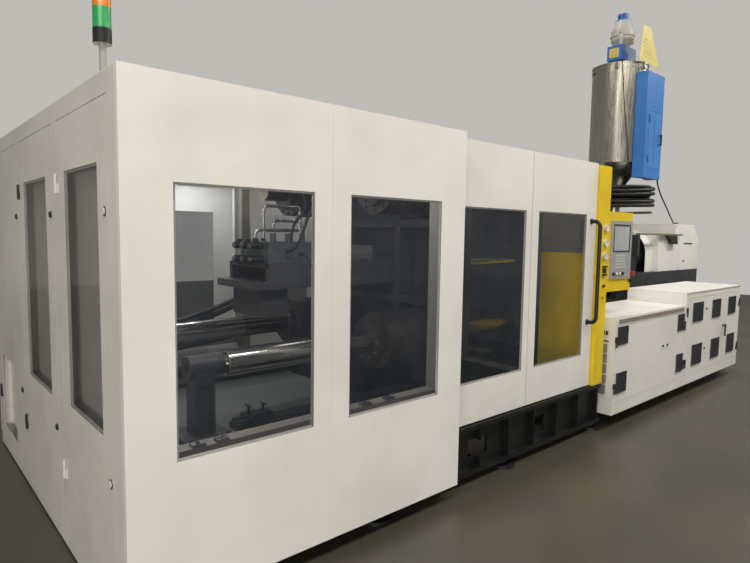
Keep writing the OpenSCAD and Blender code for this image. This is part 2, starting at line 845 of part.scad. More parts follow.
module screw() {
    color("#a7a9ab") {
        rod_x(barrel_x + 20, 0, axis_z, screw_r, drive_x + 100 - barrel_x - 20);
        for (i = [0 : 1]) rod_x(throat_x + 120 + i * 60, 0, axis_z, 55, 30);
    }
}

module screw_drive() {
    color("#303236") difference() {
        union() {
            rod_x(drive_x, 0, axis_z, 110, 180);
            rod_x(drive_x + 180, 0, axis_z, 210, 480);
            rod_x(drive_x + 660, 0, axis_z, 150, 220);
            block(drive_x + 200, -200, carriage_z + run, 440, 400, 60);
        }
        rod_x(drive_x - 1, 0, axis_z, screw_r + screw_gap, 121);
    }
}

module arch(x, l, r, low) {
    at(x, 0, axis_z) rotate([90, 0, 90]) linear_extrude(height = l) union() {
        intersection() {
            circle(r = r, $fn = 72);
            translate([-r, 0]) square([2 * r, r]);
        }
        translate([-r, low - axis_z]) square([2 * r, axis_z - low]);
    }
}

module barrel_cover() {
    r = 320;
    color("#eceae4") difference() {
        arch(throat_x + 310, housing_x - throat_x - 310, r, carriage_z);
        arch(throat_x + 309, housing_x - throat_x - 300, r - cover_t, carriage_z - 1);
    }
}

module housing_shape(inset, low) {
    rear = carriage_end - inset;
    top_1 = 1653 - inset;
    top_2 = 1818 - inset;
    polygon([[housing_x + inset, low], [rear, low], [rear, 1560], [rear - 220, top_2],
        [7790 + inset, top_2], [7790 + inset, top_1], [housing_x + inset, top_1]]);
}

module drive_housing() {
    color("#eceae4") {
        difference() {
            at(0, housing_y, 0) rotate([90, 0, 0]) linear_extrude(height = 2 * housing_y) housing_shape(0, carriage_z);
            at(0, housing_y - cover_t, 0) rotate([90, 0, 0]) linear_extrude(height = 2 * housing_y - 2 * cover_t)
                housing_shape(cover_t, carriage_z - 1);
            arch(housing_x - 1, cover_t + 2, 314, carriage_z - 1);
            for (y = [-housing_y - 1, housing_y - 4]) block(8120, y, 1528, 320, 5, 22);
        }
    }
    color("#7d7f6c") block(6540, -housing_y - 63, 1653, 1370, 55, 22);
    color("#1d1e20") at(7430, -housing_y - 63, 1654) rotate([-90, 0, 0]) linear_extrude(height = 64)
        polygon([[0, 0], [260, 0], [320, 120], [180, 120]]);
    color("#26282b") block(8400, -170, 1817, 45, 40, 34);
}

// Dryer on the feed throat

module dryer_vessel() {
    color("#b7b6ae") {
        at(throat_x, 0, 1640) {
            difference() {
                union() {
                    translate([-160, -160, 0]) cube([320, 320, 25]);
                    cylinder(r = 80, h = 620);
                    translate([0, 0, 610]) cylinder(r1 = 95, r2 = dryer_r - 15, h = dryer_z - 1640 - 610, $fn = 64);
                    translate([-120, -95, 110]) cube([300, 190, 36]);
                    translate([0, 0, coil_z - 1640 - 40]) for (a = [0, 90]) rotate([0, 0, a]) translate([-coil_out, -25, 0]) cube([2 * coil_out, 50, 30]);
                }
                translate([0, 0, -1]) cylinder(r = 45, h = 600);
            }
            translate([0, 0, dryer_z - 1640]) {
                cylinder(r = dryer_r, h = dryer_h, $fn = 96);
                for (z = [0, dryer_h - 60]) translate([0, 0, z]) cylinder(r = dryer_r + 5, h = 24, $fn = 96);
                translate([0, 0, dryer_h]) cylinder(r = dryer_r + 8, h = 14, $fn = 96);
                translate([0, 0, dryer_h + 14]) cylinder(r1 = dryer_r, r2 = 150, h = 46, $fn = 64);
            }
        }
    }
}

lid_z = dryer_z + dryer_h + 60;
loader_y = -40;

module loader() {
    color("#2f62b0") at(throat_x - 250, loader_y - 100, lid_z) cube([370, 200, 180]);
    color("#c9c8c2") at(throat_x - 65, loader_y, lid_z + 180) {
        cylinder(r1 = 80, r2 = 135, h = 90);
        translate([0, 0, 90]) cylinder(r = 135, h = 130);
        translate([0, 0, 135]) cylinder(r = 145, h = 14);
        translate([0, 0, 220]) cylinder(r1 = 120, r2 = 100, h = 110);
        translate([60, -30, 120]) rotate([0, 90, 0]) cylinder(r = 28, h = 150);
    }
    color("#2a5cab") at(throat_x - 65, loader_y, lid_z + 510) cylinder(r = 66, h = 90);
}

sheet_y = -338;

module guard_sheet() {
    color("#d8c23a") difference() {
        at(0, sheet_y, 0) rotate([90, 0, 0]) linear_extrude(height = 4)
            polygon([[throat_x - 215, lid_z - 46], [throat_x + 345, lid_z - 46], [throat_x + 75, 4240], [throat_x - 140, 4240]]);
        for (j = [0 : 5]) for (i = [0 : 5]) if (i < 6 - j * 0.6)
            rod_y(throat_x - 80 + i * 45 - j * 8, sheet_y - 6, lid_z + 20 + j * 40, 11, 12);
    }
}

box_x = throat_x - 167;
box_y = -440;
box_z = 2370;
box_h = 1295;

module dryer_box() {
    color("#2c5fae") {
        difference() {
            block(box_x, box_y, box_z, 483, 150, box_h);
            block(box_x + 100, box_y - 1, box_z + 130, 353, 30, 700);
            at(throat_x, 0, box_z - 1) cylinder(r = dryer_r + 5, h = box_h + 2, $fn = 96);
        }
    }
    color("#2a2b2d") for (z = box_hinge_z) at(box_x + 100, box_y - hinge_out, z) knuckle_frame();
}

box_hinge_z = [box_z + 200, box_z + 690];

module dryer_box_door() {
    color("#3568b8") difference() {
        block(box_x + 100 + seam, box_y, box_z + 130 + seam, 353 - 2 * seam, 24, 700 - 2 * seam);
        block(box_x + 255, box_y - 1, box_z + 210, 14, 12, 520);
    }
    color("#2a2b2d") {
        for (z = box_hinge_z) at(box_x + 100, box_y - hinge_out, z) knuckle_door();
        block(box_x + 400, box_y - 26, box_z + 430, 18, 27, 20);
        block(box_x + 400, box_y - 26, box_z + 540, 18, 27, 20);
        block(box_x + 400, box_y - 34, box_z + 430, 18, 12, 130);
    }
}

module hose_coil() {
    color("#1b1c1e") at(throat_x, 0, coil_z - 10) rotate_extrude($fn = 72)
        polygon([[coil_in, 0], [coil_out - 40, 0], [coil_out, 60], [coil_out, coil_h - 120],
            [coil_out - 50, coil_h], [coil_in + 20, coil_h], [coil_in, coil_h - 60]]);
}

// Route of the mains lead from the dryer box to the drive housing
cable_route = [[7005, -425, 2370], [7005, -425, 2300], [7030, -425, 2235], [7100, -415, 2150], [7260, -400, 2060],
    [7430, -375, 1985], [7610, -340, 1915], [7780, -300, 1870], [7950, -265, 1842], [8120, -215, 1829],
    [8260, -170, 1827], [8330, -150, 1827], [8400, -150, 1827]];
cable_r = 9;

// A tube swept along points: each ring lies across the route
module swept(points, r, n) {
    m = len(points);
    function dir(i) = let (a = points[max(i - 1, 0)], b = points[min(i + 1, m - 1)]) (b - a) / norm(b - a);
    function side(i) = let (d = dir(i), s = cross(d, [0.31, -0.95, 0.02])) s / norm(s);
    ring = [for (i = [0 : m - 1]) for (k = [0 : n - 1])
        points[i] + r * cos(360 * k / n) * side(i) + r * sin(360 * k / n) * cross(dir(i), side(i))];
    walls = [for (i = [0 : m - 2]) for (k = [0 : n - 1]) let (j = (k + 1) % n)
        [i * n + k, i * n + j, (i + 1) * n + j, (i + 1) * n + k]];
    polyhedron(points = ring, faces = concat([[for (k = [n - 1 : -1 : 0]) k]], walls,
        [[for (k = [0 : n - 1]) (m - 1) * n + k]]));
}

module power_cable() {
    color("#17181a") at(0) swept(cable_route, cable_r, 8);
}

// Cabinets

module cabinet_shell(x, w, top, openings) {
    difference() {
        block(x, -half_w, cab_z, w, cab_d, top - cab_z);
        for (q = openings) block(q[0], -half_w - 1, q[1], q[2], cab_d - shell_t + 1, q[3]);
        block(x - 1, -half_w - 1, cab_z + 78, w + 2, 1 + seam, seam);
    }
}

leaf_z = cab_z + 100;
leaf_1_h = cab_1_top - 70 - leaf_z;
leaf_2_h = cab_2_top - 60 - leaf_z;
// Doors: start, width, height
leaf_a = [cab_x + 20, 1000, leaf_1_h];
leaf_b = [cab_x + 1040, cab_1_w - 1060, leaf_1_h];
leaf_c = [cab_2_x + 30, 1010, leaf_2_h];
leaf_d = [cab_2_x + 1060, cab_2_w - 1090, leaf_2_h];

module leaf_hinges(q, left, moving) {
    for (z = [leaf_z + 80, leaf_z + q[2] - 180])
        at(left ? q[0] : q[0] + q[1], -half_w - hinge_out, z) mirror([left ? 0 : 1, 0, 0])
            if (moving) knuckle_door(); else knuckle_frame();
}

module vent(x, z, w, h) {
    block(x, -half_w - 10, z, w, 11, 8);
    block(x, -half_w - 10, z + h - 8, w, 11, 8);
    block(x, -half_w - 10, z, 8, 11, h);
    block(x + w - 8, -half_w - 10, z, 8, 11, h);
    for (i = [1 : 8]) block(x, -half_w - 8, z + i * h / 9 - 5, w, 9, 9);
}

module leaf(q, left, vents) {
    color("#efede7") difference() {
        block(q[0] + seam, -half_w, leaf_z + seam, q[1] - 2 * seam, leaf_t, q[2] - 2 * seam);
        for (v = vents) block(v[0] + 12, -half_w - 1, v[1] + 12, v[2] - 24, leaf_t + 2, v[3] - 24);
    }
    color("#3b3e44") for (v = vents) vent(v[0], v[1], v[2], v[3]);
    color("#222426") leaf_hinges(q, left, true);
}

module lock_knob(x, z) {
    rod_y(x, -half_w - 10, z, 12, 10);
}

module lower_door_left() {
    x = leaf_a[0];
    leaf(leaf_a, true, [[x + 24, 715, 182, 155], [x + 30, 300, 182, 175]]);
    color("#222426") lock_knob(leaf_a[0] + leaf_a[1] - 40, 600);
}

module lower_door_right() {
    x = leaf_b[0] + leaf_b[1];
    leaf(leaf_b, false, [[x - 180, 705, 150, 165], [x - 170, 290, 150, 180]]);
    color("#222426") lock_knob(leaf_b[0] + 40, 597);
}

module upper_door_left() {
    x = leaf_c[0];
    leaf(leaf_c, true, [[x + 151, 758, 273, 200], [x + 178, 302, 266, 215], [x + 709, 755, 245, 200], [x + 725, 304, 245, 215]]);
    color("#222426") {
        lock_knob(x + 530, 874);
        lock_knob(x + 530, 445);
    }
}

module upper_door_right() {
    x = leaf_d[0];
    leaf(leaf_d, false, [[x + 189, 755, 240, 200], [x + 200, 304, 240, 215]]);
    color("#222426") {
        rod_y(leaf_d[0] + 50, -half_w - proud + 12, 640, 12, proud - 12);
        block(leaf_d[0] + 38, -half_w - proud, 520, 24, 12, 134);
    }
}

module lower_cabinet() {
    color("#ebe9e3") {
        cabinet_shell(cab_x, cab_1_w, cab_1_top,
            [for (q = [leaf_a, leaf_b]) [q[0], leaf_z, q[1], q[2]]]);
        for (i = [0 : floor((cab_1_w - 110) / 50) - 1]) block(cab_x + 60 + i * 50, -half_w - 8, cab_1_top - 50, 34, 9, 34);
    }
    color("#222426") {
        leaf_hinges(leaf_a, true, false);
        leaf_hinges(leaf_b, false, false);
    }
    color("#8c8d8a") for (i = [0 : 4]) {
        z = 300 + i * 88;
        difference() {
            block(cab_x - 34, -half_w + 60, z, 35, 110, 70);
            block(cab_x - 30, -half_w + 66, z - 1, 26, 98, 30);
        }
    }
}

module upper_cabinet() {
    color("#ebe9e3") {
        cabinet_shell(cab_2_x, cab_2_w, cab_2_top,
            [for (q = [leaf_c, leaf_d]) [q[0], leaf_z, q[1], q[2]]]);
        block(cab_2_x, -half_w - 8, cab_2_top, cab_2_w, cab_d + 16, 6);
    }
    color("#222426") {
        leaf_hinges(leaf_c, true, false);
        leaf_hinges(leaf_d, false, false);
    }
}

module rear_cabinet() {
    w = cab_1_w + cab_2_w;
    color("#e6e3dc") {
        block(cab_x, half_w - cab_d, cab_z, w, cab_d, cab_2_top - cab_z);
        for (i = [0 : 3]) block(cab_x + 20 + i * w / 4, half_w, cab_z + 60, w / 4 - 40, 12, cab_2_top - cab_z - 100);
        for (i = [0 : 3]) block(cab_x + w / 4 * (i + 1) - 90, half_w + 11, 560, 24, proud - 11, 120);
    }
}

// Signal tower at the clamp end

tower_x = 60;
tower_y = 355 - half_w;
tower_r = 36;

module signal_pole() {
    color("#9b9d9f") at(tower_x, tower_y, guard_h + 4) {
        cylinder(r = 45, h = 12);
        cylinder(r = 14, h = 150);
    }
    color("#1d1e20") at(tower_x, tower_y, guard_h + 4) {
        translate([0, 0, 150]) cylinder(r = tower_r, h = 60);
        translate([0, 0, 460]) cylinder(r = tower_r, h = 18);
        translate([0, 0, 150]) cylinder(r = 6, h = 320);
    }
}

module signal_lamps() {
    for (i = [0 : 2]) color(["#2fa45a", "#e08a2c", "#c8302a"][i])
        at(tower_x, tower_y, guard_h + 4 + 210 + i * 83.3) difference() {
            cylinder(r = tower_r - 1, h = 83.3 - 0.3);
            translate([0, 0, -1]) cylinder(r = 6.5, h = 90);
        }
}

clamp_bed();
injection_bed();
levelling_feet();
guard_frame();
front_panels();
rear_panels();
guard_panes();
roof_panel();
operator_post();
operator_wing();
hmi_housing();
hmi_screen();
gauges();
tie_bars();
bar_pedestals();
fixed_platen();
cylinder_barrels();
lower_cabinet();
upper_cabinet();
rear_cabinet();
signal_pole();
signal_lamps();
front_door();
front_door_panes();
front_door_handle();
rear_door();
rear_door_panes();
end_door_front();
end_pane_front();
end_door_middle();
end_pane_middle();
end_door_rear();
moving_platen();
locking_units();
clamp_hydraulics();
ejector();
travel_rods();
injection_carriage();
barrel();
screw_drive();
screw();
barrel_cover();
drive_housing();
dryer_vessel();
loader();
guard_sheet();
dryer_box();
dryer_box_door();
hose_coil();
power_cable();
lower_door_left();
lower_door_right();
upper_door_left();
upper_door_right();
emergency_stop();
key_switch();
push_button_1();
push_button_2();
push_button_3();
push_button_4();
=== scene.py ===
"""Looks of a two-platen injection moulding machine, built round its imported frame."""
import math

import bmesh
import bpy
import numpy as np
from mathutils import Matrix, Vector


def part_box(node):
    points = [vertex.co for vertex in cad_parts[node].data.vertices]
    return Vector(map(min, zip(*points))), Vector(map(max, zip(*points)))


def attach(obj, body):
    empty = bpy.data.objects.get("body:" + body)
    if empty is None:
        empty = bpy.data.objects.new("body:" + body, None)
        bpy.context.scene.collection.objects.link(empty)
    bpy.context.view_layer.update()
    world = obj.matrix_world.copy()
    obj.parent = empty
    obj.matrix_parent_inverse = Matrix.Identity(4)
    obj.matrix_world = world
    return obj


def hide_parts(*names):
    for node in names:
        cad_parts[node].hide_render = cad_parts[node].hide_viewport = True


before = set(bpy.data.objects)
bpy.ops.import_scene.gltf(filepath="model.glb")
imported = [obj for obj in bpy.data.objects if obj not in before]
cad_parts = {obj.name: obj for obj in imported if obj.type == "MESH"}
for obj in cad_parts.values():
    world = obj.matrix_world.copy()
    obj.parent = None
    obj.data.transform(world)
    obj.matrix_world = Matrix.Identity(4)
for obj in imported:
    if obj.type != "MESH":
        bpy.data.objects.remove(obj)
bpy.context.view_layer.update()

MM = 0.001

# Metres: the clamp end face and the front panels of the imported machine, from which all places are counted
END_X, FRONT_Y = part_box("front_panels")[0][:2]


def edge(node, side, axis):
    """Where a node's box ends, in millimetres from the clamp end, the middle or the floor; side 0 is the low one."""
    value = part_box(node)[side][axis]
    return round(1000 * (value - END_X if axis == 0 else value), 1)


# Millimetres along the machine, from its middle and above the floor: screw axis, throat, tie bars by their 150 mm
# nuts, locking units, mould faces, rear of the platen's ribs, near corner, foot and height of the valve block, its
# coils across and above its foot, hoses behind the far bar, deck, and the corners of the work lamps under the roof
AXIS_Z = 1403
THROAT = 6715
BAR_Y = edge("tie_bars", 1, 1) - 150
BAR_LOW, BAR_HIGH = edge("tie_bars", 0, 2) + 150, edge("tie_bars", 1, 2) - 150
LOCK_X = edge("locking_units", 0, 0) + 50
PLATEN_X, FIXED_X = edge("moving_platen", 1, 0), edge("fixed_platen", 0, 0)
RIB_X = LOCK_X + 480
BLOCK_X, BLOCK_Y, BLOCK_Z, BLOCK_HIGH = RIB_X - 1167, -275, 1404, 150
COIL_Y, COIL_RISE = [BLOCK_Y + 90 + 110 * k for k in range(3)], (28, 122)
HOSE_Y = 830
DECK_Z = 430
LAMP_X, LAMP_Y, LAMP_Z = (300, 1150), 1130, 2180
LAMP_LONG = 620

# The camera stands where the photograph was taken from
CAMERA_SPOT = (END_X - 0.678, FRONT_Y - 2.172, 1.620)
HEADING = math.radians(48.488)
PITCH = math.radians(4.830)
ROLL = math.radians(0.8626)
FOCAL_PIXELS = 568.2
PHOTO_WIDTH = 750


def make_camera():
    """Forward, right and up vectors from heading, pitch and roll."""
    forward = np.array([math.cos(HEADING) * math.cos(PITCH), math.sin(HEADING) * math.cos(PITCH), -math.sin(PITCH)])
    level = np.array([math.sin(HEADING), -math.cos(HEADING), 0.0])
    up = np.cross(level, forward)
    right = math.cos(ROLL) * level + math.sin(ROLL) * up
    up = -math.sin(ROLL) * level + math.cos(ROLL) * up
    data = bpy.data.cameras.new("camera")
    data.sensor_width = 36
    data.lens = FOCAL_PIXELS / PHOTO_WIDTH * data.sensor_width
    data.clip_end = 200
    eye = bpy.data.objects.new("camera", data)
    turn = Matrix((right, up, -forward)).transposed().to_4x4()
    eye.matrix_world = Matrix.Translation(Vector(CAMERA_SPOT)) @ turn
    bpy.context.scene.collection.objects.link(eye)
    bpy.context.scene.camera = eye


make_camera()

# Materials


def linear(code, alpha=1.0):
    """A colour written as sRGB hex, turned to linear."""
    part = [int(code[i:i + 2], 16) / 255 for i in (1, 3, 5)]
    return [c / 12.92 if c <= 0.04045 else ((c + 0.055) / 1.055) ** 2.4 for c in part] + [alpha]


def add(tree, kind, links=None, values=None, **settings):
    """Adds a node, sets its properties and sockets, and links its inputs."""
    made = tree.nodes.new(kind)
    for key, value in settings.items():
        setattr(made, key, value)
    for key, value in (values or {}).items():
        made.inputs[key].default_value = value
    for key, source in (links or {}).items():
        tree.links.new(source, made.inputs[key])
    return made


def spot(tree):
    """Object coordinates, in metres."""
    return add(tree, "ShaderNodeTexCoord").outputs["Object"]


def grain(tree, scale, detail=3.0, stretch=(1, 1, 1), rough=0.55):
    """Noise of a given number of patches a metre, stretched along an axis."""
    moved = add(tree, "ShaderNodeMapping", {"Vector": spot(tree)}, {"Scale": stretch})
    return add(tree, "ShaderNodeTexNoise", {"Vector": moved.outputs[0]},
               {"Scale": scale, "Detail": detail, "Roughness": rough}).outputs["Fac"]


def ramp(tree, source, low, high, start=0.35, end=0.65):
    """A smooth blend of two colours over a source."""
    made = add(tree, "ShaderNodeValToRGB", {"Fac": source})
    made.color_ramp.elements[0].position = start
    made.color_ramp.elements[0].color = low
    made.color_ramp.elements[1].position = end
    made.color_ramp.elements[1].color = high
    return made.outputs["Color"]


def bumps(tree, source, strength, depth):
    """A relief of a given depth in metres."""
    return add(tree, "ShaderNodeBump", {"Height": source}, {"Strength": strength, "Distance": depth}).outputs["Normal"]


def mask(tree, low, high):
    """One inside a box of the object, nothing outside it; the box is in metres."""
    apart = add(tree, "ShaderNodeSeparateXYZ", {"Vector": spot(tree)})
    total = None
    for axis in range(3):
        for limit, operation in ((low[axis], "GREATER_THAN"), (high[axis], "LESS_THAN")):
            if limit is None:
                continue
            test = add(tree, "ShaderNodeMath", {0: apart.outputs[axis]}, {1: limit}, operation=operation).outputs[0]
            total = test if total is None else add(
                tree, "ShaderNodeMath", {0: total, 1: test}, operation="MULTIPLY").outputs[0]
    return total


def blend(tree, where, colour, over):
    """Paints a colour over another where a mask is one."""
    made = add(tree, "ShaderNodeMix", {"Factor": where}, data_type="RGBA")
    for socket, value in ((made.inputs[6], over), (made.inputs[7], colour)):
        if isinstance(value, bpy.types.NodeSocket):
            tree.links.new(value, socket)
        else:
            socket.default_value = value
    return made.outputs[2]


def zoned(tree, base, zones):
    """Paints boxes of another finish over a base colour; each zone is a low corner, a high corner and a hex colour."""
    for low, high, paint in zones:
        base = blend(tree, mask(tree, low, high), linear(paint), base)
    return base


def new_material(name):
    """An empty material and its node tree."""
    made = bpy.data.materials.new(name)
    made.use_nodes = True
    made.node_tree.nodes.clear()
    return made, made.node_tree


def finish_material(tree, colour, normal=None, rough=None, values=None):
    """A principled surface from a colour, a relief and a roughness."""
    shader = add(tree, "ShaderNodeBsdfPrincipled", values=values)
    for key, source in (("Base Color", colour), ("Normal", normal), ("Roughness", rough)):
        if isinstance(source, bpy.types.NodeSocket):
            tree.links.new(source, shader.inputs[key])
        elif source is not None:
            shader.inputs[key].default_value = source
    out = add(tree, "ShaderNodeOutputMaterial", {"Surface": shader.outputs[0]})
    out.target = "ALL"
    return shader


def powder_coat(name, code, dirt_code, zones=(), rough=0.38):
    """Powder coat is a baked plastic film: an even colour, a low gloss and a faint orange peel of about 2 mm.
    It carries a little grey dust in soft, wide patches. Zones are boxes of another finish."""
    made, tree = new_material(name)
    dust = ramp(tree, grain(tree, 1.6, 5), linear(dirt_code), linear(code), 0.18, 0.578)
    peel = grain(tree, 480, 2)
    gloss = add(tree, "ShaderNodeMapRange", {"Value": grain(tree, 9, 4)},
                {"From Min": 0.3, "From Max": 0.7, "To Min": rough - 0.05, "To Max": rough + 0.08})
    finish_material(tree, zoned(tree, dust, zones), bumps(tree, peel, 0.12, 0.0004), gloss.outputs[0], {"IOR": 1.5})
    return made


def machine_paint(name, code, edge_code, zones=(), rough=0.42):
    """Thick machine enamel brushed or sprayed on castings and welded frames: dark, satin, slightly wavy from the
    sand-cast skin of about 5 mm, with paler dust on it."""
    made, tree = new_material(name)
    base = ramp(tree, grain(tree, 7, 6), linear(code), linear(edge_code), 0.35, 0.8)
    skin = grain(tree, 190, 3)
    finish_material(tree, zoned(tree, base, zones), bumps(tree, skin, 0.25, 0.001), rough, {"IOR": 1.5})
    return made


def steel(name, code, dark_code, rough, stretch=(1, 1, 1), scale=120, zones=()):
    """Bare steel or stainless sheet: its grain runs along the way it was ground or brushed, and its gloss changes
    with it. Lines are drawn 5 to 17 mm apart, with finer ones between them, so that they show."""
    made, tree = new_material(name)
    lines = grain(tree, scale, 4, stretch)
    base = zoned(tree, ramp(tree, lines, linear(dark_code), linear(code), 0.3, 0.7), zones)
    gloss = add(tree, "ShaderNodeMapRange", {"Value": lines},
                {"From Min": 0.25, "From Max": 0.75, "To Min": rough * 0.75, "To Max": rough * 1.3})
    finish_material(tree, base, bumps(tree, lines, 0.05, 0.0003), gloss.outputs[0], {"Metallic": 1.0})
    return made


def smoked_pane():
    """Polycarbonate guard panes are clear with a grey smoke tint, glossy, and carry faint wiping haze."""
    made, tree = new_material("smoked_polycarbonate")
    haze = grain(tree, 2.2, 6, (1, 1, 0.6))
    cover = add(tree, "ShaderNodeMapRange", {"Value": haze},
                {"From Min": 0.3, "From Max": 0.75, "To Min": 0.22, "To Max": 0.32})
    shader = finish_material(tree, ramp(tree, haze, linear("#2B3038"), linear("#454C57"), 0.3, 0.8),
                             None, 0.07, {"IOR": 1.58})
    tree.links.new(cover.outputs[0], shader.inputs["Alpha"])
    return made


def moulded(name, code, rough=0.45, relief=0.0003, scale=900):
    """Moulded ABS or rubber: one colour through, a fine spark-eroded grain of about 1 mm."""
    made, tree = new_material(name)
    worn = [min(1, 1.25 * c + 0.004) for c in linear(code)[:3]] + [1]
    base = ramp(tree, grain(tree, 14, 3), linear(code), worn, 0.3, 0.8)
    finish_material(tree, base, bumps(tree, grain(tree, scale, 2), 0.2, relief), rough, {"IOR": 1.46})
    return made


def lamp_lens():
    """Signal lenses are coloured polycarbonate over a fluted ring; unlit they look deep and glossy."""
    made, tree = new_material("lamp_lens")
    low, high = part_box("signal_lamps")
    step = (high[2] - low[2]) / 3
    base = zoned(tree, linear("#1FA05A"), [((None, None, low[2] + step), ANY, "#E07F1E"),
                                           ((None, None, low[2] + 2 * step), ANY, "#C9261F")])
    flutes = add(tree, "ShaderNodeTexWave", {"Vector": spot(tree)}, {"Scale": 90.0}, bands_direction="Z").outputs["Fac"]
    finish_material(tree, base, bumps(tree, flutes, 0.4, 0.001), 0.18, {"IOR": 1.58, "Coat Weight": 0.3})
    return made


def display():
    """The display is glass over a pale grey screen in a dark frame; its picture is a plain soft gradient."""
    made, tree = new_material("display_glass")
    low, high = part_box("hmi_screen")
    inner = mask(tree, (low[0] + 0.021, None, low[2] + 0.014), (high[0] - 0.021, None, high[2] - 0.016))
    glow = ramp(tree, grain(tree, 4, 1), linear("#A4ABB0"), linear("#BCC1C4"), 0.3, 0.7)
    base = blend(tree, inner, glow, linear("#2B2E33"))
    finish_material(tree, base, None, 0.12, {"IOR": 1.5, "Coat Weight": 0.4})
    return made


# Sheet colours with their dust, the black of plastic trim, the open corner of a zone, and how far off a sheet the
# finish of what stands on it begins
WHITE, GUARD_WHITE = ("#E9E9E6", "#D9D8D3"), ("#DEDCD6", "#C6C4BE")
BLACK = "#1B1C1E"
ANY = (None, None, None)
OFF_SHEET = 0.0006
PANEL_FRONT, END_FRONT = FRONT_Y - OFF_SHEET, END_X - OFF_SHEET

white = powder_coat("white_powder_coat", *WHITE)
white_grey = powder_coat("white_powder_coat_frame", *GUARD_WHITE)
# The guard frame keeps black hinge halves at the end doors; from 60.5 mm in from the end it is all painted mid grey,
# painted shade that keeps its posts dark inside the guard
frame_look = powder_coat("white_guard_with_painted_shade", *GUARD_WHITE, zones=[
    ((None, -0.45, None), (END_FRONT, None, None), BLACK), ((END_X + 0.0605, None, None), ANY, "#85827A")])
yellow = powder_coat("yellow_powder_coat", "#F0D012", "#D8B714", rough=0.33)
black_frame = machine_paint("black_frame_enamel", "#141517", "#26282A")
cast_grey = machine_paint("dark_grey_casting_enamel", "#3A3B3E", "#4C4D50")
dark_motor = machine_paint("graphite_motor_enamel", "#2B2C30", "#3A3B40")
lock_paint = machine_paint("brown_black_lock_enamel", "#2E2A27", "#48423C", rough=0.3)
valve_enamel = powder_coat("valve_enamel", "#4C5355", "#3F4547", rough=0.25)
bed_look = machine_paint("clamp_bed_enamel", "#0C0D0E", "#1A1C1D", [
    ((None, None, 0.4295), (END_X + 1.97, None, 0.4325), "#6F7573"),
    ((END_X + 3.49, None, 0.4295), (END_X + 4.16, None, 0.4325), "#6F7573")])
chrome_bar = steel("hard_chromed_bar", "#D6D4D0", "#B4B1AC", 0.16, (0.15, 1, 1), 60)
greased_bar = steel("greased_tie_bar", "#D2D0CC", "#B0ADA8", 0.17, (0.15, 1, 1), 60,
                    [((END_X + 1.55, None, None), ANY, "#9C9184")])
machined = steel("machined_steel", "#9C9DA0", "#6F7073", 0.34, scale=90)
zinc_pipe = steel("bright_zinc_pipe", "#D5D7D8", "#B9BCBE", 0.22, scale=200)
stainless = steel("brushed_stainless_sheet", "#C9C5BA", "#9E9A8F", 0.27, (9, 9, 0.25), 14)
pane_look = smoked_pane()
black_plastic = moulded("black_moulded_plastic", "#17181A")
light_plastic = moulded("pale_moulded_plastic", "#D9D9D6")
red_plastic = moulded("red_moulded_plastic", "#A8241C", 0.3)
rubber = moulded("black_hose_rubber", "#131416", 0.5)
filter_look = moulded("filter_mesh", "#3A3D44", 0.7, 0.002, 260)
grey_panel = powder_coat("grey_panel_film", "#A3A5A8", "#8F9194", rough=0.42)
blue = powder_coat("blue_powder_coat", "#3D7CC8", "#3470BA", rough=0.3)
blue_door = powder_coat("blue_powder_coat_door", "#4484CE", "#3C78C0", rough=0.3,
                        zones=[(ANY, (None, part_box("dryer_box")[0][1] - OFF_SHEET, None), BLACK)])


def keyed_panel():
    """The operator panel is a grey moulding; its keys stand out of it and are paler."""
    keys_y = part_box("hmi_housing")[0][1] + 0.0015
    return powder_coat("grey_panel_with_keys", "#A6A8AB", "#96989B", [(ANY, (None, keys_y, None), "#C4C6C8")], 0.42)


def gauge_look():
    """Gauges have pale rims; the levers and plugs below them are black."""
    return powder_coat("gauge_finish", "#C9CACB", "#B4B5B6", [(ANY, (None, None, 1.40), BLACK)], rough=0.3)


# The finish of each CAD node, with its nodes
LOOKS = {name: look for look, names in (
    (bed_look, "clamp_bed"), (black_frame, "injection_bed levelling_feet cylinder_barrels"),
    (frame_look, "guard_frame"), (white, "front_panels rear_panels roof_panel front_door rear_door barrel_cover"),
    (white_grey, "end_door_front"), (yellow, "operator_post operator_wing"),
    (pane_look, "guard_panes front_door_panes rear_door_panes end_pane_front end_pane_middle"),
    (keyed_panel(), "hmi_housing"), (display(), "hmi_screen"), (greased_bar, "tie_bars"), (chrome_bar, "travel_rods"),
    (cast_grey, "bar_pedestals fixed_platen moving_platen"), (lock_paint, "locking_units"),
    (valve_enamel, "clamp_hydraulics"), (machined, "ejector barrel screw"),
    (dark_motor, "injection_carriage screw_drive"), (stainless, "dryer_vessel"), (blue, "dryer_box"),
    (blue_door, "dryer_box_door"), (red_plastic, "emergency_stop"), (gauge_look(), "gauges"),
    (black_plastic, "front_door_handle key_switch push_button_1 push_button_4"),
    (light_plastic, "push_button_2 push_button_3"), (lamp_lens(), "signal_lamps"),
    (powder_coat("yellow_guard_sheet", "#CDBC4E", "#B9A944", rough=0.4), "guard_sheet"),
    (powder_coat("white_rear_doors", *WHITE, zones=[((None, 0.0125 - FRONT_Y, None), ANY, BLACK)]), "rear_cabinet"),
) for name in names.split()}


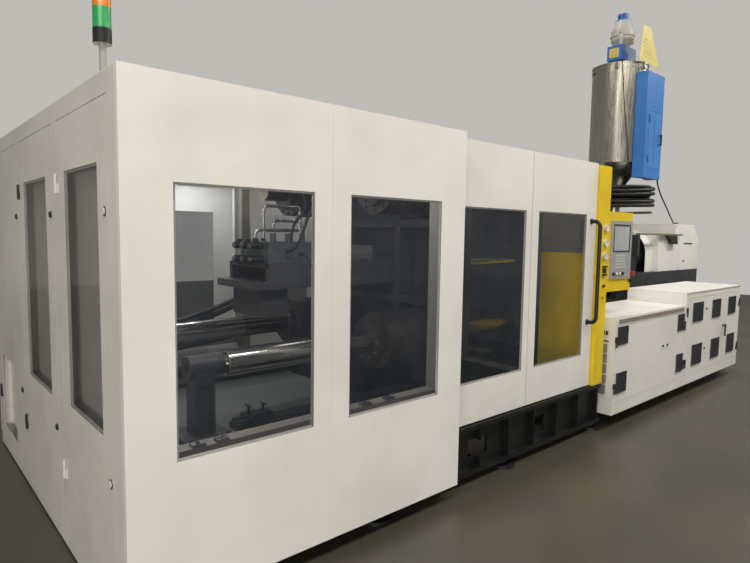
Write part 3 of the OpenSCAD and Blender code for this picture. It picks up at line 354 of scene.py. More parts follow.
def fitted_cabinet_looks():
    """Cabinet shells and doors are white sheet; what stands in front of the sheet has its own finish."""
    low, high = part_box("lower_cabinet")
    strip_z = high[2] - 0.052
    LOOKS["lower_cabinet"] = powder_coat("white_low_cabinet", *WHITE, zones=[
        (ANY, (None, PANEL_FRONT, strip_z), BLACK),
        ((None, None, strip_z), (None, PANEL_FRONT, None), "#8E8478"),
        (ANY, (low[0] + 0.0335, None, None), "#6E706F")])
    LOOKS["upper_cabinet"] = powder_coat("white_high_cabinet", *WHITE, zones=[
        (ANY, (None, PANEL_FRONT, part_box("upper_cabinet")[1][2] - 0.01), BLACK)])
    for name in ("lower_door_left", "lower_door_right", "upper_door_left", "upper_door_right"):
        LOOKS[name] = powder_coat("white_" + name, *WHITE, zones=[(ANY, (None, PANEL_FRONT, None), "#34383E")])
    for name in ("end_door_middle", "end_door_rear"):
        LOOKS[name] = powder_coat("white_" + name, *GUARD_WHITE, zones=[(ANY, (END_FRONT, None, None), BLACK)])


def fitted_injection_looks():
    """The housing carries an olive rail and a black bracket beside its white sheet, and its grip is a handle slot shown
    as a flat black band of painted shade; the loader has a blue foot and cap, and the signal pole a black head."""
    rail_low, near = 1.6525, -0.3872
    LOOKS["drive_housing"] = powder_coat("white_drive_housing", *WHITE, zones=[
        (ANY, (None, near, rail_low), BLACK),
        ((None, None, rail_low), (None, near, None), "#73745F"),
        ((END_X + 8.39, -0.171, 1.8182), (END_X + 8.46, -0.129, None), BLACK),
        # A flat black band painted on the near sheet stands in for the shaded inside of the handle slot: painted shade
        ((END_X + 8.12, None, 1.528), (END_X + 8.44, near + 0.005, 1.55), BLACK)])
    low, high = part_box("loader")
    LOOKS["loader"] = powder_coat("loader_finish", "#B9B8B2", "#A3A29B", zones=[
        (ANY, (None, None, low[2] + 0.1805), "#2F66B4"),
        ((None, None, high[2] - 0.0905), ANY, "#1F56A8")])
    pole_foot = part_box("signal_pole")[0][2]
    LOOKS["signal_pole"] = powder_coat("signal_pole_finish", "#A8A9AA", "#8F9091", zones=[
        ((None, None, pole_foot + 0.15), ANY, BLACK)])


fitted_cabinet_looks()
fitted_injection_looks()
for name, look in LOOKS.items():
    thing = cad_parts[name]
    thing.data.materials.clear()
    thing.data.materials.append(look)

# Mesh tools


def piece(name, points, faces, look, body, smooth=False, bevel=0.0):
    """A mesh in place, with its faces turned outwards, riding on a body."""
    mesh = bpy.data.meshes.new(name)
    mesh.from_pydata(np.asarray(points, float).tolist(), [], [tuple(int(i) for i in f) for f in faces])
    mesh.materials.append(look)
    mesh.polygons.foreach_set("use_smooth", np.full(len(mesh.polygons), smooth))
    work = bmesh.new()
    work.from_mesh(mesh)
    bmesh.ops.recalc_face_normals(work, faces=work.faces)
    work.to_mesh(mesh)
    work.free()
    made = bpy.data.objects.new(name, mesh)
    bpy.context.scene.collection.objects.link(made)
    if bevel:
        rounding = made.modifiers.new("edges", "BEVEL")
        rounding.width = bevel
        rounding.segments = 2
        rounding.limit_method = "ANGLE"
    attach(made, body)
    return made


CUBE_FACES = np.array([[0, 3, 2, 1], [4, 5, 6, 7], [0, 1, 5, 4], [1, 2, 6, 5], [2, 3, 7, 6], [3, 0, 4, 7]])


def joined(parts):
    """Puts several point and face lists into one."""
    points, faces, count = [], [], 0
    for p, f in parts:
        points.append(p)
        faces.extend([[int(i) + count for i in q] for q in f])
        count += len(p)
    return np.concatenate(points), faces


def block(low, high):
    """A box between two corners."""
    (a, b, c), (d, e, f) = low, high
    corners = np.array([[a, b, c], [d, b, c], [d, e, c], [a, e, c], [a, b, f], [d, b, f], [d, e, f], [a, e, f]])
    return corners, CUBE_FACES


def ring_faces(rows, columns):
    """Faces of a tube: rows along it, columns round it."""
    i, j = np.meshgrid(np.arange(rows - 1), np.arange(columns), indexing="ij")
    a, b = i * columns + j, i * columns + (j + 1) % columns
    return np.stack([a, b, b + columns, a + columns], -1).reshape(-1, 4).tolist()


def frames_along(path):
    """Directions of a path and two steady normals at each of its points."""
    way = np.gradient(path, axis=0)
    way /= np.linalg.norm(way, axis=1)[:, None]
    side = np.zeros_like(way)
    first = np.cross(way[0], [0.13, 0.31, 0.94])
    side[0] = first / np.linalg.norm(first)
    for k in range(1, len(way)):
        s = side[k - 1] - way[k] * (side[k - 1] @ way[k])
        side[k] = s / np.linalg.norm(s)
    return way, side, np.cross(way, side)


def tube(path, radius, around=12):
    """A round tube: a circle of the radius carried along the path on its two normals, closed at both ends."""
    path = np.asarray(path, float)
    way, side, other = frames_along(path)
    turn = np.linspace(0, 2 * math.pi, around, endpoint=False)
    circle = (np.cos(turn)[None, :, None] * side[:, None] + np.sin(turn)[None, :, None] * other[:, None])
    points = (path[:, None] + radius * circle).reshape(-1, 3)
    last = (len(path) - 1) * around
    ends = [list(range(around))[::-1], [last + k for k in range(around)]]
    return points, ring_faces(len(path), around) + ends


def smooth_path(points, per=8):
    """A Catmull-Rom curve through points: between two of them it is a cubic whose slope at each is half the way from
    the one before to the one after."""
    p = np.asarray(points, float)
    p = np.concatenate([[2 * p[0] - p[1]], p, [2 * p[-1] - p[-2]]])
    out = []
    t = np.linspace(0, 1, per, endpoint=False)[:, None]
    for k in range(1, len(p) - 2):
        a, b, c, d = p[k - 1:k + 3]
        square, cube = 2 * a - 5 * b + 4 * c - d, 3 * b - a - 3 * c + d
        out.append(0.5 * (2 * b + (c - a) * t + square * t ** 2 + cube * t ** 3))
    return np.concatenate(out + [p[-2:-1]])


def rounded_path(points, radii, step=8):
    """Straight runs whose corners are arcs of the given radii, with a point every few degrees: an arc's point is its
    centre plus the start and end spokes, weighted by the sines of the angles left and gone."""
    p = np.asarray(points, float)
    out = [p[0]]
    for a, b, c, radius in zip(p[:-2], p[1:-1], p[2:], radii):
        back, on = (a - b) / np.linalg.norm(a - b), (c - b) / np.linalg.norm(c - b)
        half = math.acos(back @ on) / 2
        reach, turn = radius / math.tan(half), math.pi - 2 * half
        centre = b + (back + on) / np.linalg.norm(back + on) * radius / math.sin(half)
        t = np.linspace(0, 1, max(3, round(math.degrees(turn) / step)))[:, None]
        start, end = b + back * reach - centre, b + on * reach - centre
        out.extend(centre + (np.sin((1 - t) * turn) * start + np.sin(t * turn) * end) / math.sin(turn))
    return np.array(out + [p[-1]])


def rod(start, end, radius, around=24):
    """A round rod between two points."""
    return tube(np.linspace(start, end, 2), radius, around)


# Fittings: pieces too fine for the CAD, each fixed to what carries it


def spot_at(x, y, z):
    """A point from millimetres: X along the machine, Y from its middle, Z above the floor."""
    return np.array([END_X + x * MM, y * MM, z * MM])


def slab(x, y, z, long, deep, high):
    """A box from its low corner and its size, in millimetres."""
    low = spot_at(x, y, z)
    return block(low, low + np.array([long, deep, high]) * MM)


def turned(profile, x, y, z, axis, around=32):
    """A turned solid: (radius, height) pairs in millimetres swept round an axis through a point. A profile that starts
    a hair off the axis is closed at both ends, and one that starts further off is a ring, closed on itself."""
    r, h = np.array(profile, float).T[:, :, None] * MM
    turn = np.linspace(0, 2 * math.pi, around, endpoint=False)
    first, second, h = r * np.cos(turn), r * np.sin(turn), np.broadcast_to(h, (len(profile), around))
    order = {"Z": (first, second, h), "X": (h, first, second), "Y": (second, h, first)}[axis]
    points = np.stack(order, -1).reshape(-1, 3) + spot_at(x, y, z)
    faces = ring_faces(len(profile), around)
    last = (len(profile) - 1) * around
    if profile[0][0] > 0.2:
        return points, faces + [[last + k, last + (k + 1) % around, (k + 1) % around, k] for k in range(around)]
    return points, faces + [list(range(around)), [last + k for k in range(around)]]


def cap_screw(x, y, z, radius, axis):
    """A cap screw's head: a short cylinder with a chamfered top and a socket. Height is signed by the axis."""
    tall = radius if axis[0] == "+" else -radius
    return turned([(0.1, 0), (radius, 0), (radius, 0.85 * tall), (0.88 * radius, tall), (0.5 * radius, tall),
                   (0.5 * radius, 0.5 * tall), (0.1, 0.5 * tall)], x, y, z, axis[1], 12)


def ring_of_screws(x, y, z, pitch, count, radius, axis, phase=0.0):
    """Cap screws evenly round a point, in the plane across the X axis."""
    turn = phase + np.arange(count) * 2 * math.pi / count
    return [cap_screw(x, y + pitch * math.cos(a), z + pitch * math.sin(a), radius, axis) for a in turn]


def fit(name, parts, look, body, smooth=False, bevel=0.0):
    """One piece from several closed shells."""
    return piece(name, *joined(parts), look, body, smooth, bevel)


def sharp_edges(made, degrees=32):
    """Smooth shading that breaks where two faces meet at more than the angle."""
    made.data.polygons.foreach_set("use_smooth", np.ones(len(made.data.polygons), bool))
    made.data.set_sharp_from_angle(angle=math.radians(degrees))


def guide_bars():
    """Four tie bars as turned profiles: radius over length. The lower two reach back to a neck, the upper two end
    behind the locking units, and all of them carry a stepped nut behind the fixed platen."""
    nut = edge("tie_bars", 1, 0) - 150
    front = [(79.9, nut), (148, nut + 0.1), (150, nut + 2), (150, nut + 108), (148, nut + 110), (120, nut + 110),
             (118, nut + 130), (80, nut + 130), (80, nut + 148), (78, nut + 150), (0.1, nut + 150)]
    lower = [(0.1, 630), (48, 630), (50, 632), (50, 841), (76, 841), (80, 845)] + front
    upper = [(0.1, LOCK_X - 240), (76, LOCK_X - 240), (80, LOCK_X - 236)] + front
    bars = [turned(profile, 0, side * BAR_Y, z, "X", 96)
            for profile, z in ((lower, BAR_LOW), (upper, BAR_HIGH)) for side in (-1, 1)]
    made = fit("guide_bars", bars, greased_bar, "machine")
    sharp_edges(made)
    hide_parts("tie_bars")


def bar_supports():
    """Each lower bar's neck lies in a turned hub on a column with recessed sides, on a foot with four bolts."""
    parts = []
    foot = DECK_Z + 34
    tall = BAR_LOW - foot
    for side in (-1, 1):
        y = side * BAR_Y
        parts += [slab(560, y - 150, DECK_Z, 280, 300, 34), slab(639, y - 57, foot, 118, 114, tall)]
        for rim in (y - 65, y + 57):
            parts += [slab(639, rim, foot, 21, 8, tall), slab(736, rim, foot, 21, 8, tall),
                      slab(660, rim, foot, 76, 8, 36), slab(660, rim, BAR_LOW - 100, 76, 8, 100)]
        parts.append(turned([(30, 0), (66, 0), (68, 2), (68, 172), (66, 174), (50.1, 174), (50.1, 17.9), (30, 17.9)],
                            612, y, BAR_LOW, "X", 72))
        parts += [turned([(0.1, 0), (16, 0), (16, 15), (13, 18), (0.1, 18)], x, y + off, foot, "Z", 6)
                  for x in (590, 810) for off in (-120, 120)]
    made = fit("bar_supports", parts, cast_grey, "machine", bevel=0.002)
    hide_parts("bar_pedestals")


def node_copy(node):
    """Points and faces of a CAD node's mesh, in metres, with its doubled points merged."""
    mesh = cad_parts[node].data
    points = np.empty(3 * len(mesh.vertices))
    mesh.vertices.foreach_get("co", points)
    points, own = np.unique(points.reshape(-1, 3).round(6), axis=0, return_inverse=True)
    return points, own.ravel()[[list(q.vertices) for q in mesh.polygons]]


def without(points, faces, gone):
    """Leaves out the faces whose points are all gone, and the points that no face needs any more."""
    faces = faces[~gone[faces].all(axis=1)]
    used, own = np.unique(faces, return_inverse=True)
    return points[used], own.reshape(faces.shape)


def inside(points, x, y, z):
    """True for points within three ranges in millimetres, the second of them from the middle to either side."""
    x0, x1, z0, z1 = END_X + x[0] * MM, END_X + x[1] * MM, z[0] * MM, z[1] * MM
    side = np.abs(points[:, 1])
    return ((points[:, 0] > x0) & (points[:, 0] < x1) & (side > y[0] * MM) & (side < y[1] * MM)
            & (points[:, 2] > z0) & (points[:, 2] < z1))


def platen_with_cradle():
    """The moving platen as it is, with a longer and higher cradle: floor, side plates, top plate and a box below."""
    points, faces = node_copy("moving_platen")
    parts = [without(points, faces, inside(points, (RIB_X - 1400, RIB_X + 0.5), (200, 276), (1149, 1431)))]
    for y in (-275, 240):
        parts += [slab(RIB_X - 1170, y, 1280, 1170, 35, 124), slab(RIB_X - 4, y - 1, 1148, 4.6, 37, 284)]
    parts += [slab(RIB_X - 1270, -275, 1230, 1270, 550, 50), slab(RIB_X - 1170, -274.5, 1374, 380, 549, 29.5),
              slab(RIB_X - 1180, -200, 1030, 210, 400, 201)]
    made = fit("platen_with_cradle", parts, cast_grey, "moving_platen")
    sharp_edges(made, 25)
    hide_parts("moving_platen")


def bed_without_posts():
    """The clamp's bed as it is, with its two hose posts lowered to the deck."""
    points, faces = node_copy("clamp_bed")
    low_post = inside(points, (419, 511), (264, 346), (430.5, 700))
    high_post = inside(points, (1599, 1661), (280, 330), (430.5, 1300))
    points[low_post | high_post, 2] = (DECK_Z + 0.5) * MM
    made = fit("bed_without_posts", [(points, faces)], bed_look, "machine")
    sharp_edges(made, 25)
    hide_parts("clamp_bed")


def valve_stack():
    """The valve block with six coils and three caps, and two bright pipes that rise from it in loops."""
    x, y, z = BLOCK_X, BLOCK_Y, BLOCK_Z
    made = fit("valve_block", [slab(x, y, z, 387, 392, BLOCK_HIGH)], valve_enamel, "moving_platen", bevel=0.003)
    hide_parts("clamp_hydraulics")
    coils = [turned([(0.1, 0), (22, 0), (24, 2), (24, 90)], x - 90, coil_y, z + rise, "X", 40)
             for coil_y in COIL_Y for rise in COIL_RISE]
    caps = [turned([(20, 0), (20, 54), (15, 60), (0.1, 60)], x + 70 + 120 * k, y + 60, z + BLOCK_HIGH, "Z", 40)
            for k in range(3)]
    sharp_edges(fit("valve_coil_bodies", coils, black_plastic, "moving_platen"))
    sharp_edges(fit("valve_caps", caps, valve_enamel, "moving_platen"))
    near, far = y + 225, y + 310
    loop = [(x + 25, near, z + 148), (x + 25, near, z + 228), (x + 400, near, z + 228), (x + 400, near, z + 400),
            (x + 90, near, z + 400), (x + 90, near, z + 148)]
    arch = [(x + 220, far, z + 148), (x + 220, far, z + 300), (x + 470, far, z + 300), (x + 470, far, 1280.5)]
    pipes = [tube(rounded_path([spot_at(*q) for q in route], [0.036] * 4), 0.012, 20) for route in (loop, arch)]
    sharp_edges(fit("valve_pipes", pipes, zinc_pipe, "moving_platen"), 50)


def pedestal_fittings():
    """A grooved collar on the neck of each lower bar, and a row of screws down each pedestal's column."""
    collars = [turned([(50.3, 0), (60, 0), (64, 3), (64, 18), (56, 20), (56, 26), (62, 28), (62, 40), (50.3, 40)],
                      787, y, BAR_LOW, "X", 64) for y in (-BAR_Y, BAR_Y)]
    screws = [cap_screw(698, y - 57, 545 + 26 * k, 6, "-Y") for y in (-BAR_Y, BAR_Y) for k in range(7)]
    fit("pedestal_collars", collars, cast_grey, "machine")
    fit("pedestal_screws", screws, machined, "machine")


def lock_fittings():
    """Screws round every locking unit, a boss ring, and the drilled grid of both mould faces, but for its corners and
    its middle."""
    screws, rings = [], []
    for y in (-BAR_Y, BAR_Y):
        for z in (BAR_LOW, BAR_HIGH):
            screws += ring_of_screws(LOCK_X - 50, y, z, 118, 10, 9, "-X")
            screws += ring_of_screws(LOCK_X + 391, y, z, 206, 16, 5, "-X", 0.1)
            rings.append(turned([(201, 0), (206, 0), (206, 26), (201, 26)], LOCK_X + 150, y, z, "X", 64))
    fit("lock_screws", screws, machined, "moving_platen")
    fit("lock_rings", rings, dark_motor, "moving_platen")
    grid = range(-560, 561, 140)
    for body, face, tall in (("moving_platen", PLATEN_X, 0.4), ("machine", FIXED_X, -0.4)):
        holes = [turned([(0.1, 0), (11, 0), (11, tall), (0.1, tall)], face, y, AXIS_Z + z, "X", 14)
                 for y in grid for z in grid if min(abs(y), abs(z)) <= 400 and math.hypot(y, z) >= 180]
        fit("bolt_holes_" + body, holes, black_plastic, body)


def valve_fittings():
    """Nuts and terminal boxes on the valve stack's coils, and bright nuts where its pipes start."""
    nuts, boxes = [], []
    for y in COIL_Y:
        for rise, off in zip(COIL_RISE, (-44, 20)):
            nuts.append(turned([(0.1, 0), (19, 0), (19, -8), (14, -12), (0.1, -12)],
                               BLOCK_X - 90, y, BLOCK_Z + rise, "X", 24))
            boxes.append(slab(BLOCK_X - 66, y - 16, BLOCK_Z + rise + off, 34, 32, 24))
    for x, y in ((25, 225), (90, 225), (220, 310)):
        nuts.append(turned([(0.1, 0), (20, 0), (20, 20), (13, 24), (0.1, 24)],
                           BLOCK_X + x, BLOCK_Y + y, BLOCK_Z + BLOCK_HIGH, "Z", 6))
    fit("valve_nuts", nuts, machined, "moving_platen")
    fit("valve_coils", boxes, black_plastic, "moving_platen", bevel=0.002)


def deck_fittings():
    """A stop block with two T handles on the near guide rail, and clips on the guard's lower beam."""
    stop = [slab(980, -640, 470, 170, 150, 34), slab(1000, -630, 504, 130, 60, 18)]
    handles = []
    for x in (1010, 1110):
        handles.append(turned([(0.1, 0), (7, 0), (7, 50), (0.1, 50)], x, -540, 504, "Z", 12))
        handles.append(turned([(0.1, -35), (7, -35), (7, 35), (0.1, 35)], x, -540, 554, "Y", 12))
    for y in (-600, -530):
        handles.append(turned([(0.1, 0), (8, 0), (8, -60), (12, -60), (12, -72), (0.1, -72)], 980, y, 487, "X", 14))
    fit("deck_stop", stop + handles, black_frame, "machine", bevel=0.002)
    clips = []
    for y in (-1245, 1245):
        for x in (340, 455, 1320, 1500):
            clips += [slab(x, y - 22, 665, 60, 44, 12), cap_screw(x + 30, y, 677, 9, "+Z")]
    fit("beam_clips", clips, machined, "machine")


def lamp_bars():
    """Work lamps under the roof: a tube of frosted plastic in a grey tray along each side of the guard."""
    places = [(x, y) for y in (-LAMP_Y, LAMP_Y) for x in LAMP_X]
    trays = [slab(x, y - 35, LAMP_Z, LAMP_LONG, 70, 30) for x, y in places]
    tubes = [turned([(0.1, 0), (16, 0), (16, 590), (0.1, 590)], x + 15, y, LAMP_Z - 12, "X", 20) for x, y in places]
    fit("lamp_trays", trays, white_grey, "machine", bevel=0.003)
    fit("lamp_tubes", tubes, light_plastic, "machine", smooth=True)


def panel_fittings():
    """Bezel rings round the push buttons, a collar under the emergency stop, dials and needles in the gauges,
    and studs under the operator post."""
    post_front = edge("operator_post", 0, 1)
    rings = [turned([(13.6, 0), (18, 0), (18, -2.5), (15.5, -4), (13.6, -4)], 3910 + x, post_front - 14, 1313, "Y", 32)
             for x in (45, 100, 155, 210)]
    rings.append(turned([(14.5, 0), (25, 0), (25, -5), (22, -9), (14.5, -9)], 4286, post_front, 1310, "Y", 40))
    fit("button_rings", rings, machined, "machine")
    dials, needles = [], []
    for z, angle in ((1464, 2.3), (1570, 1.9), (1692, 2.6)):
        dials.append(turned([(0.1, -15.2), (26.5, -15.2), (26.5, -16), (0.1, -16)], 3822, post_front, z, "Y", 40))
        tip = 20 * np.array([math.cos(angle), 0, math.sin(angle)])
        start = spot_at(3822, post_front - 17, z)
        needles.append(rod(start - tip * 0.3 * MM, start + tip * MM, 0.0012, 6))
    fit("gauge_dials", dials, light_plastic, "machine")
    fit("gauge_needles", needles, black_plastic, "machine")
    studs = [turned([(0.1, 0), (7, 0), (7, -22), (0.1, -22)], 3740 + 38 * k, -1310, 395, "Z", 12) for k in range(4)]
    fit("post_studs", studs, black_plastic, "machine")


def cabinet_fittings():
    """Connectors above the sockets on the low cabinet's end, and a fine mesh behind each louvre."""
    plugs = [slab(3906, -1372 + 26 * k, 800, 14, 14, 34) for k in range(3)]
    plugs.append(slab(3908, -1380, 744, 12, 84, 10))
    fit("end_connectors", plugs, black_plastic, "machine", bevel=0.001)
    vents = {"lower_door_left": [(3964, 715, 182, 155), (3970, 300, 182, 175)],
             "lower_door_right": [(5230, 705, 150, 165), (5240, 290, 150, 180)],
             "upper_door_left": [(5611, 758, 273, 200), (5638, 302, 266, 215), (6169, 755, 245, 200),
                                 (6185, 304, 245, 215)],
             "upper_door_right": [(6679, 755, 240, 200), (6690, 304, 240, 215)]}
    for door, openings in vents.items():
        meshes = [slab(x + 8, -1432.5, z + 8, w - 16, 2, h - 16) for x, z, w, h in openings]
        fit("vent_mesh_" + door, meshes, filter_look, door)


def outward(degrees):
    """A level direction away from the vessel's axis."""
    turn = math.radians(degrees)
    return np.array([math.cos(turn), math.sin(turn), 0])


def dryer_fittings():
    """Toggle clamps round the lid, a seam strip down the vessel, screws on the box and clamps on the loader."""
    cap = (6650, -40)
    elbow_foot = (6484, -106, 4031)
    clamps = []
    for k in range(6):
        out = outward(20 + 60 * k)
        foot = spot_at(THROAT, 0, 3740) + 0.342 * out
        top = foot + [0, 0, 0.062]
        clamps += [rod(foot, top, 0.010, 12), rod(top - 0.012 * out, top + 0.012 * out, 0.009, 12),
                   block(foot - [0.016, 0.016, 0.02], foot + [0.016, 0.016, 0.004])]
    for k in range(3):
        out = outward(75 + 120 * k)
        foot = spot_at(*cap, 4130) + 0.140 * out
        top = foot + [0, 0, 0.07]
        clamps += [rod(foot, top, 0.008, 12), rod(top - 0.02 * out, top + 0.012 * out, 0.007, 12)]
    fit("lid_clamps", clamps, machined, "carriage")
    bands = [turned([(66.5, 0), (69, 2), (69, high - 2), (66.5, high)], *cap, z, "Z", 48)
             for z, high in ((4372, 16), (4425, 12))]
    fit("cap_bands", bands, blue, "carriage")
    elbow = smooth_path([spot_at(6560, -75, 4150), spot_at(6510, -95, 4148), spot_at(6488, -104, 4125),
                         spot_at(6484, -106, 4080), spot_at(*elbow_foot)], 6)
    pipes = [tube(elbow, 0.022, 20), turned([(22, 0), (27, 0), (27, 8), (22, 8)], *elbow_foot, "Z", 24),
             turned([(95, 0), (101, 3), (101, 15), (95, 18)], *cap, 4352, "Z", 48)]
    fit("loader_pipes", pipes, LOOKS["loader"], "carriage")
    foot = spot_at(THROAT, 0, 2590) + 0.334 * outward(-115)
    side, out = 0.007 * outward(-25), 0.005 * outward(-115)
    ring = np.array([foot - side - out, foot + side - out, foot + side + out, foot - side + out])
    fit("vessel_seam", [(np.concatenate([ring, ring + [0, 0, 1.18]]), CUBE_FACES)], machined, "carriage")
    screws = [cap_screw(6560 + dx, -440, z, 6, "-Y") for dx in (12, 460) for z in (2400, 2790, 3250, 3640)]
    fit("box_screws", screws, machined, "carriage")
    fit("loader_keypad", [slab(6463.5, -90, 3885, 2, 120, 110)], yellow, "carriage", bevel=0.001)
    keys = [slab(6462, -78 + 54 * i, 3900 + 46 * j, 2, 34, 30) for i in (0, 1) for j in (0, 1)]
    fit("loader_keys", keys, grey_panel, "carriage")


def barrel_fittings():
    """Terminal boxes on the barrel's eight heater bands, and two clamps on each."""
    bands = range(4190, 4190 + 8 * 270, 270)
    boxes = [slab(x + 80, -35, AXIS_Z + 122, 70, 70, 42) for x in bands]
    clamps = [slab(x + dx - 6, -26, AXIS_Z + 120, 12, 52, 16) for x in bands for dx in (20, 210)]
    fit("heater_boxes", boxes, grey_panel, "carriage", bevel=0.003)
    fit("heater_clamps", clamps, machined, "carriage")


def housing_fittings():
    """Screws round the drive housing, the seams of its sheets, a stop at its rear top and a knob."""
    side = -387
    corners = ((7290, 1200), (7290, 1610), (8640, 1200), (8640, 1520))
    screws = [cap_screw(x, side, z, 6, "-Y") for x, z in corners + ((7960, 1200), (7830, 1780), (8430, 1780))]
    screws += [cap_screw(x, -side, z, 6, "+Y") for x, z in corners]
    fit("housing_screws", screws, machined, "carriage")
    seams = [slab(7950, side - 0.4, 1170, 1.6, 1, 478), slab(7256, side - 0.4, 1652, 640, 1, 1.6),
             slab(7950, -side - 0.6, 1170, 1.6, 1, 478)]
    fit("housing_seams", seams, black_plastic, "carriage")
    stop = [slab(8660, -330, 1590, 62, 110, 60), slab(8640, -318, 1560, 40, 86, 34)]
    fit("housing_stop", stop, black_plastic, "carriage", bevel=0.004)
    knob = turned([(0.1, 0), (11, 0), (11, -9), (8, -13), (0.1, -13)], 8130, side, 1290, "Y", 24)
    fit("housing_knob", [knob], black_plastic, "carriage")


def door_fittings():
    """The seam between the sheets of each sliding door and a rubber strip along its closing edge."""
    for body, y, strip_y in (("front_door", -1327, -1323), ("rear_door", 1327, 1303)):
        fit(body + "_seam", [slab(2799, y - 0.5, 402, 2, 1, 1801)], black_plastic, body)
        fit(body + "_strip", [slab(3708, strip_y, 410, 8, 20, 1780)], rubber, body)


def end_fittings():
    """Round lock escutcheons on the three end doors."""
    for body, y in (("end_door_front", -1303), ("end_door_middle", -427), ("end_door_rear", 468)):
        plates = [turned([(14.5, 0), (20, 0), (20, -2), (17, -3.5), (14.5, -3.5)], 0, y + 45, z, "X", 32)
                  for z in (600, 1690)]
        fit(body + "_plates", plates, machined, body)


guide_bars()
bar_supports()
platen_with_cradle()
bed_without_posts()
valve_stack()
pedestal_fittings()
lock_fittings()
valve_fittings()
deck_fittings()
lamp_bars()
panel_fittings()
cabinet_fittings()
dryer_fittings()
barrel_fittings()
housing_fittings()
door_fittings()
end_fittings()

# Free hoses and cables


def free_cord(name, path, diameter, body, around=12, **facts):
    """A round rubber cord along a path; it ends on the machine."""
    made = piece(name, *tube(path, diameter / 2, around), rubber, body, smooth=True)
    return made


def ease(t):
    """Zero before 0, one after 1, and a smooth step between."""
    t = np.clip(t, 0, 1)
    return t * t * (3 - 2 * t)


def coiled_hose():
    """Turn k of the coil keeps its own radius and height; each change of place is a smooth step over one radian of
    the angle. Every turn is tilted its own way: height adds tilt times the sine of angle plus phase."""
    layers = [(0.469, -0.072, (0.058, 0.034, 0.050, 0.026), (0.9, 1.1, 0.7, 1.0)),
              (0.4195, 0.052, (0.012,) * 5, (2.2,) * 5), (0.370, -0.052, (0.020,) * 4, (3.6,) * 4)]
    middle = 2.150
    turns = []
    for radius, rise, tilts, phases in layers:
        heights = middle + rise * (np.arange(len(tilts)) - (len(tilts) - 1) / 2)
        turns += [(radius, *own) for own in zip(heights, tilts, phases)]
    turns = np.array(turns)
    angle = np.arange(0, 2 * math.pi * len(turns), 2 * math.pi / 90)
    places = []
    for column in turns.T:
        value = np.full_like(angle, column[0])
        for n, jump in enumerate(np.diff(column), 1):
            value += jump * ease(angle - 2 * math.pi * n + (0.2 if turns[n, 0] != turns[n - 1, 0] else 1.2))
        places.append(value)
    radius, height, tilt, phase = places
    turn = 2.6 + angle
    sag = tilt * np.sin(turn + phase)
    throat_x = END_X + THROAT * MM
    coil = np.stack([throat_x + radius * np.cos(turn), radius * np.sin(turn), height + sag], 1)
    way = coil[1] - coil[0]
    way /= np.linalg.norm(way)
    lead = smooth_path([(throat_x + 0.19, 0.16, 2.475), (throat_x + 0.24, 0.25, 2.455), (throat_x + 0.14, 0.42, 2.405),
                        (throat_x - 0.09, 0.50, 2.340), coil[0] - 0.10 * way], 14)
    out = coil[-1] - coil[-2]
    out /= np.linalg.norm(out)
    inner = coil[-1] + 0.06 * out
    spoke = np.array([throat_x, 0, inner[2] - 0.005])
    toward = (spoke - inner) * np.array([1, 1, 0])
    tail = smooth_path([inner, inner + 0.10 * out + 0.16 * toward, inner + 0.13 * out + 0.42 * toward,
                        spoke - 0.25 * toward + 0.05 * out, spoke - 0.14 * toward], 12)
    path = np.concatenate([lead, coil, tail])
    made = free_cord("coiled_hose", path, 0.046, "carriage", stiffness="stiff", lay="coiled")
    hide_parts("hose_coil")


def supply_cable():
    """The dryer's cable hangs from its box to the gland on the drive housing."""
    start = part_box("dryer_box")[0][2] / MM
    spots = [(7005, -425, start), (7012, -425, 2340), (7050, -424, 2285), (7160, -415, 2190),
             (7330, -398, 2090), (7520, -370, 2005), (7710, -332, 1935), (7890, -290, 1884), (8060, -245, 1851),
             (8190, -200, 1833), (8290, -165, 1828), (8340, -150, 1827), (8400, -150, 1827)]
    path = smooth_path([spot_at(*q) for q in spots], 8)
    made = free_cord("supply_cable", path, 0.018, "carriage", stiffness="stiff", lay="hanging")
    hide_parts("power_cable")


def clamp_hoses():
    """Four thick hoses rise straight from the deck, turn level on a quarter circle, climb smoothly behind the far bar
    and bend back to the guard's rear post: two end high on it, two low."""
    bend, start_y = 190, 735
    high = ((1463, HOSE_Y, 925), (1700, 848, 1005), (1860, 930, 1040), (1930, 1055, 1050), (1943, 1187, 1050))
    low = ((1428, HOSE_Y, 705), (1700, 848, 732), (1860, 930, 741), (1930, 1055, 742), (1943, 1187, 742))
    ferrules = []
    for k, (x, level, route, lift) in enumerate(((290, 800, high, 0), (220, 852, high, 52), (430, 662, low, 0),
                                                 (360, 712, low, 48))):
        turn = np.linspace(0, math.pi / 2, 7)
        rise = [(x, start_y, z) for z in np.linspace(DECK_Z, level - bend, 4)[:-1]]
        corner = [(x + bend * (1 - math.cos(a)), start_y, level - bend + bend * math.sin(a)) for a in turn]
        run = [(800, 785, level), (1120, HOSE_Y, 0.3 * (route[0][2] + lift) + 0.7 * level)]
        climb = [(end, y, z + lift) for end, y, z in route]
        path = smooth_path([spot_at(*q) for q in rise + corner + run + climb], 6)
        free_cord("clamp_hose_%d" % (k + 1), path, 0.044, "machine", 14, stiffness="stiff", lay="hanging")
        ferrules += [turned([(22.1, 0), (34, 0), (34, 16), (27, 20), (27, 58), (22.1, 60)], *rise[0], "Z", 32),
                     turned([(22.1, 0), (34, 0), (34, -16), (27, -20), (27, -58), (22.1, -60)], *climb[-1], "Y", 32)]
    sharp_edges(fit("hose_ferrules", ferrules, machined, "machine"))


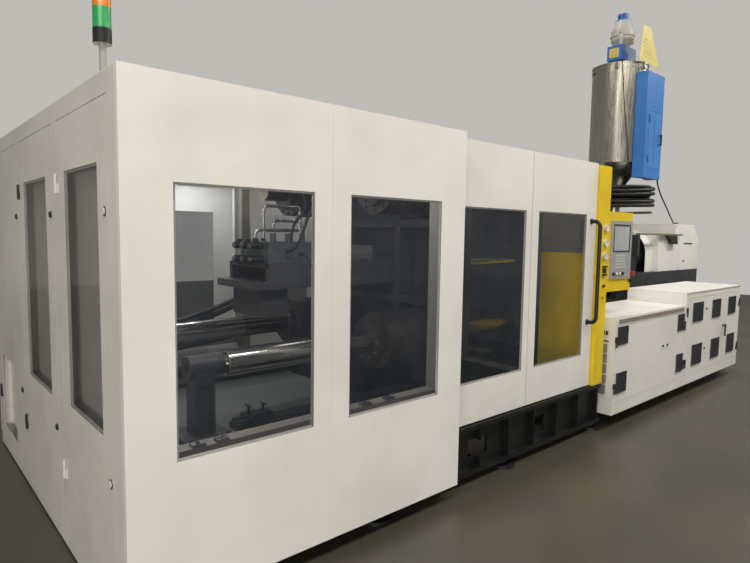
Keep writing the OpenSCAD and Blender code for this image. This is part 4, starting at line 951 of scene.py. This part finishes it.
def lock_hoses():
    """Hoses from the valve stack to the locking units, all on the moving platen."""
    low = [(1560, -275, 1470), (1560, -398, 1470), (1640, -408, 1180), (1850, -362, 850), (2090, -356, 850)]
    high = [(1450, -275, 1490), (1450, -398, 1490), (1560, -408, 1780), (1830, -364, 1958), (2090, -356, 1958)]
    far = [(1600, -110, 1554), (1601, -110, 1605), (1635, -104, 1690), (1735, -50, 1762), (1850, 85, 1830),
           (1930, 230, 1900), (2000, 325, 1942), (2090, 356, 1958)]
    routes = {"low": rounded_path([spot_at(*q) for q in low], (0.095, 0.250, 0.200)),
              "high": rounded_path([spot_at(*q) for q in high], (0.095, 0.220, 0.200)),
              "far": smooth_path([spot_at(*q) for q in far], 5)}
    for name, path in routes.items():
        free_cord("lock_hose_" + name, path, 0.022, "moving_platen", stiffness="medium", lay="hanging")


def sensor_cable():
    """A thin cable runs down the vessel from its lid to the cone: points from angle, radius and height."""
    ring = ((-152, 300, 3836), (-151, 342, 3818), (-150, 352, 3750), (-143, 352, 3300), (-135, 352, 2900),
            (-129, 350, 2620), (-127, 300, 2520), (-126, 243, 2452))
    path = smooth_path([spot_at(THROAT, 0, z) + r * MM * outward(a) for a, r, z in ring], 14)
    free_cord("sensor_cable", path, 0.008, "carriage", 8, stiffness="medium", lay="hanging")


coiled_hose()
supply_cable()
clamp_hoses()
lock_hoses()
sensor_cable()

# Floor, light and backdrop


def sealed_floor():
    """A sealed concrete floor, satin and a little patchy."""
    look, tree = new_material("sealed_floor")
    shade = ramp(tree, grain(tree, 0.8, 6), linear("#434138"), linear("#545145"), 0.3, 0.7)
    finish_material(tree, shade, None, 0.34, {"IOR": 1.5})
    half = 14.0
    mesh = bpy.data.meshes.new("floor")
    mesh.from_pydata([(-half, -half, 0), (half, -half, 0), (half, half, 0), (-half, half, 0)], [], [(0, 1, 2, 3)])
    mesh.materials.append(look)
    floor = bpy.data.objects.new("floor", mesh)
    bpy.context.scene.collection.objects.link(floor)


def area_lamp(name, spot, power, wide, long):
    """A rectangular lamp that shines straight down."""
    data = bpy.data.lights.new(name, "AREA")
    data.shape = "RECTANGLE"
    data.size, data.size_y, data.energy = long, wide, power
    made = bpy.data.objects.new(name, data)
    made.location = spot
    bpy.context.scene.collection.objects.link(made)
    return made


def room_lamps():
    """The room's strip lights overhead, a wall that throws light on the end face, and the lamps inside the guard."""
    for name, spot, power, wide, long in (("strip_near", (-6.0, -3.4, 5.6), 150, 0.5, 5.0),
                                          ("strip_front", (0.0, -4.2, 5.8), 215, 0.5, 6.0),
                                          ("strip_far", (5.6, -3.2, 5.8), 310, 0.5, 5.0),
                                          ("strip_over", (-1.5, 0.6, 6.2), 170, 0.6, 8.0),
                                          ("wall_bounce", (-9.5, -7.5, 1.2), 380, 2.4, 7.0)):
        lamp = area_lamp(name, spot, power, wide, long)
        lamp.data.color = linear("#FFF8EC")[:3]
        if name == "wall_bounce":
            lamp.rotation_euler = (Vector((-2.0, 0, 1.2)) - Vector(spot)).to_track_quat("-Z", "Y").to_euler()
    for y in (-LAMP_Y, LAMP_Y):
        for x in LAMP_X:
            area_lamp("guard_lamp", spot_at(x + LAMP_LONG / 2, y, LAMP_Z - 40), 6, 0.04, 0.6)


def pale_room():
    """An even pale room: seen directly it is nearly white, and in reflections it darkens upwards."""
    world = bpy.data.worlds.new("room")
    world.use_nodes = True
    tree = world.node_tree
    tree.nodes.clear()
    up = add(tree, "ShaderNodeSeparateXYZ", {"Vector": add(tree, "ShaderNodeTexCoord").outputs["Generated"]})
    room = ramp(tree, up.outputs[2], linear("#BDBBB6"), linear("#8A8A8A"), 0.02, 0.55)
    seen = add(tree, "ShaderNodeLightPath").outputs["Is Camera Ray"]
    shade = blend(tree, seen, linear("#F2EFE9"), room)
    back = add(tree, "ShaderNodeBackground", {"Color": shade}, {"Strength": 0.58})
    add(tree, "ShaderNodeOutputWorld", {"Surface": back.outputs[0]})
    bpy.context.scene.world = world


sealed_floor()
room_lamps()
pale_room()

bpy.context.scene.view_settings.view_transform = "Standard"
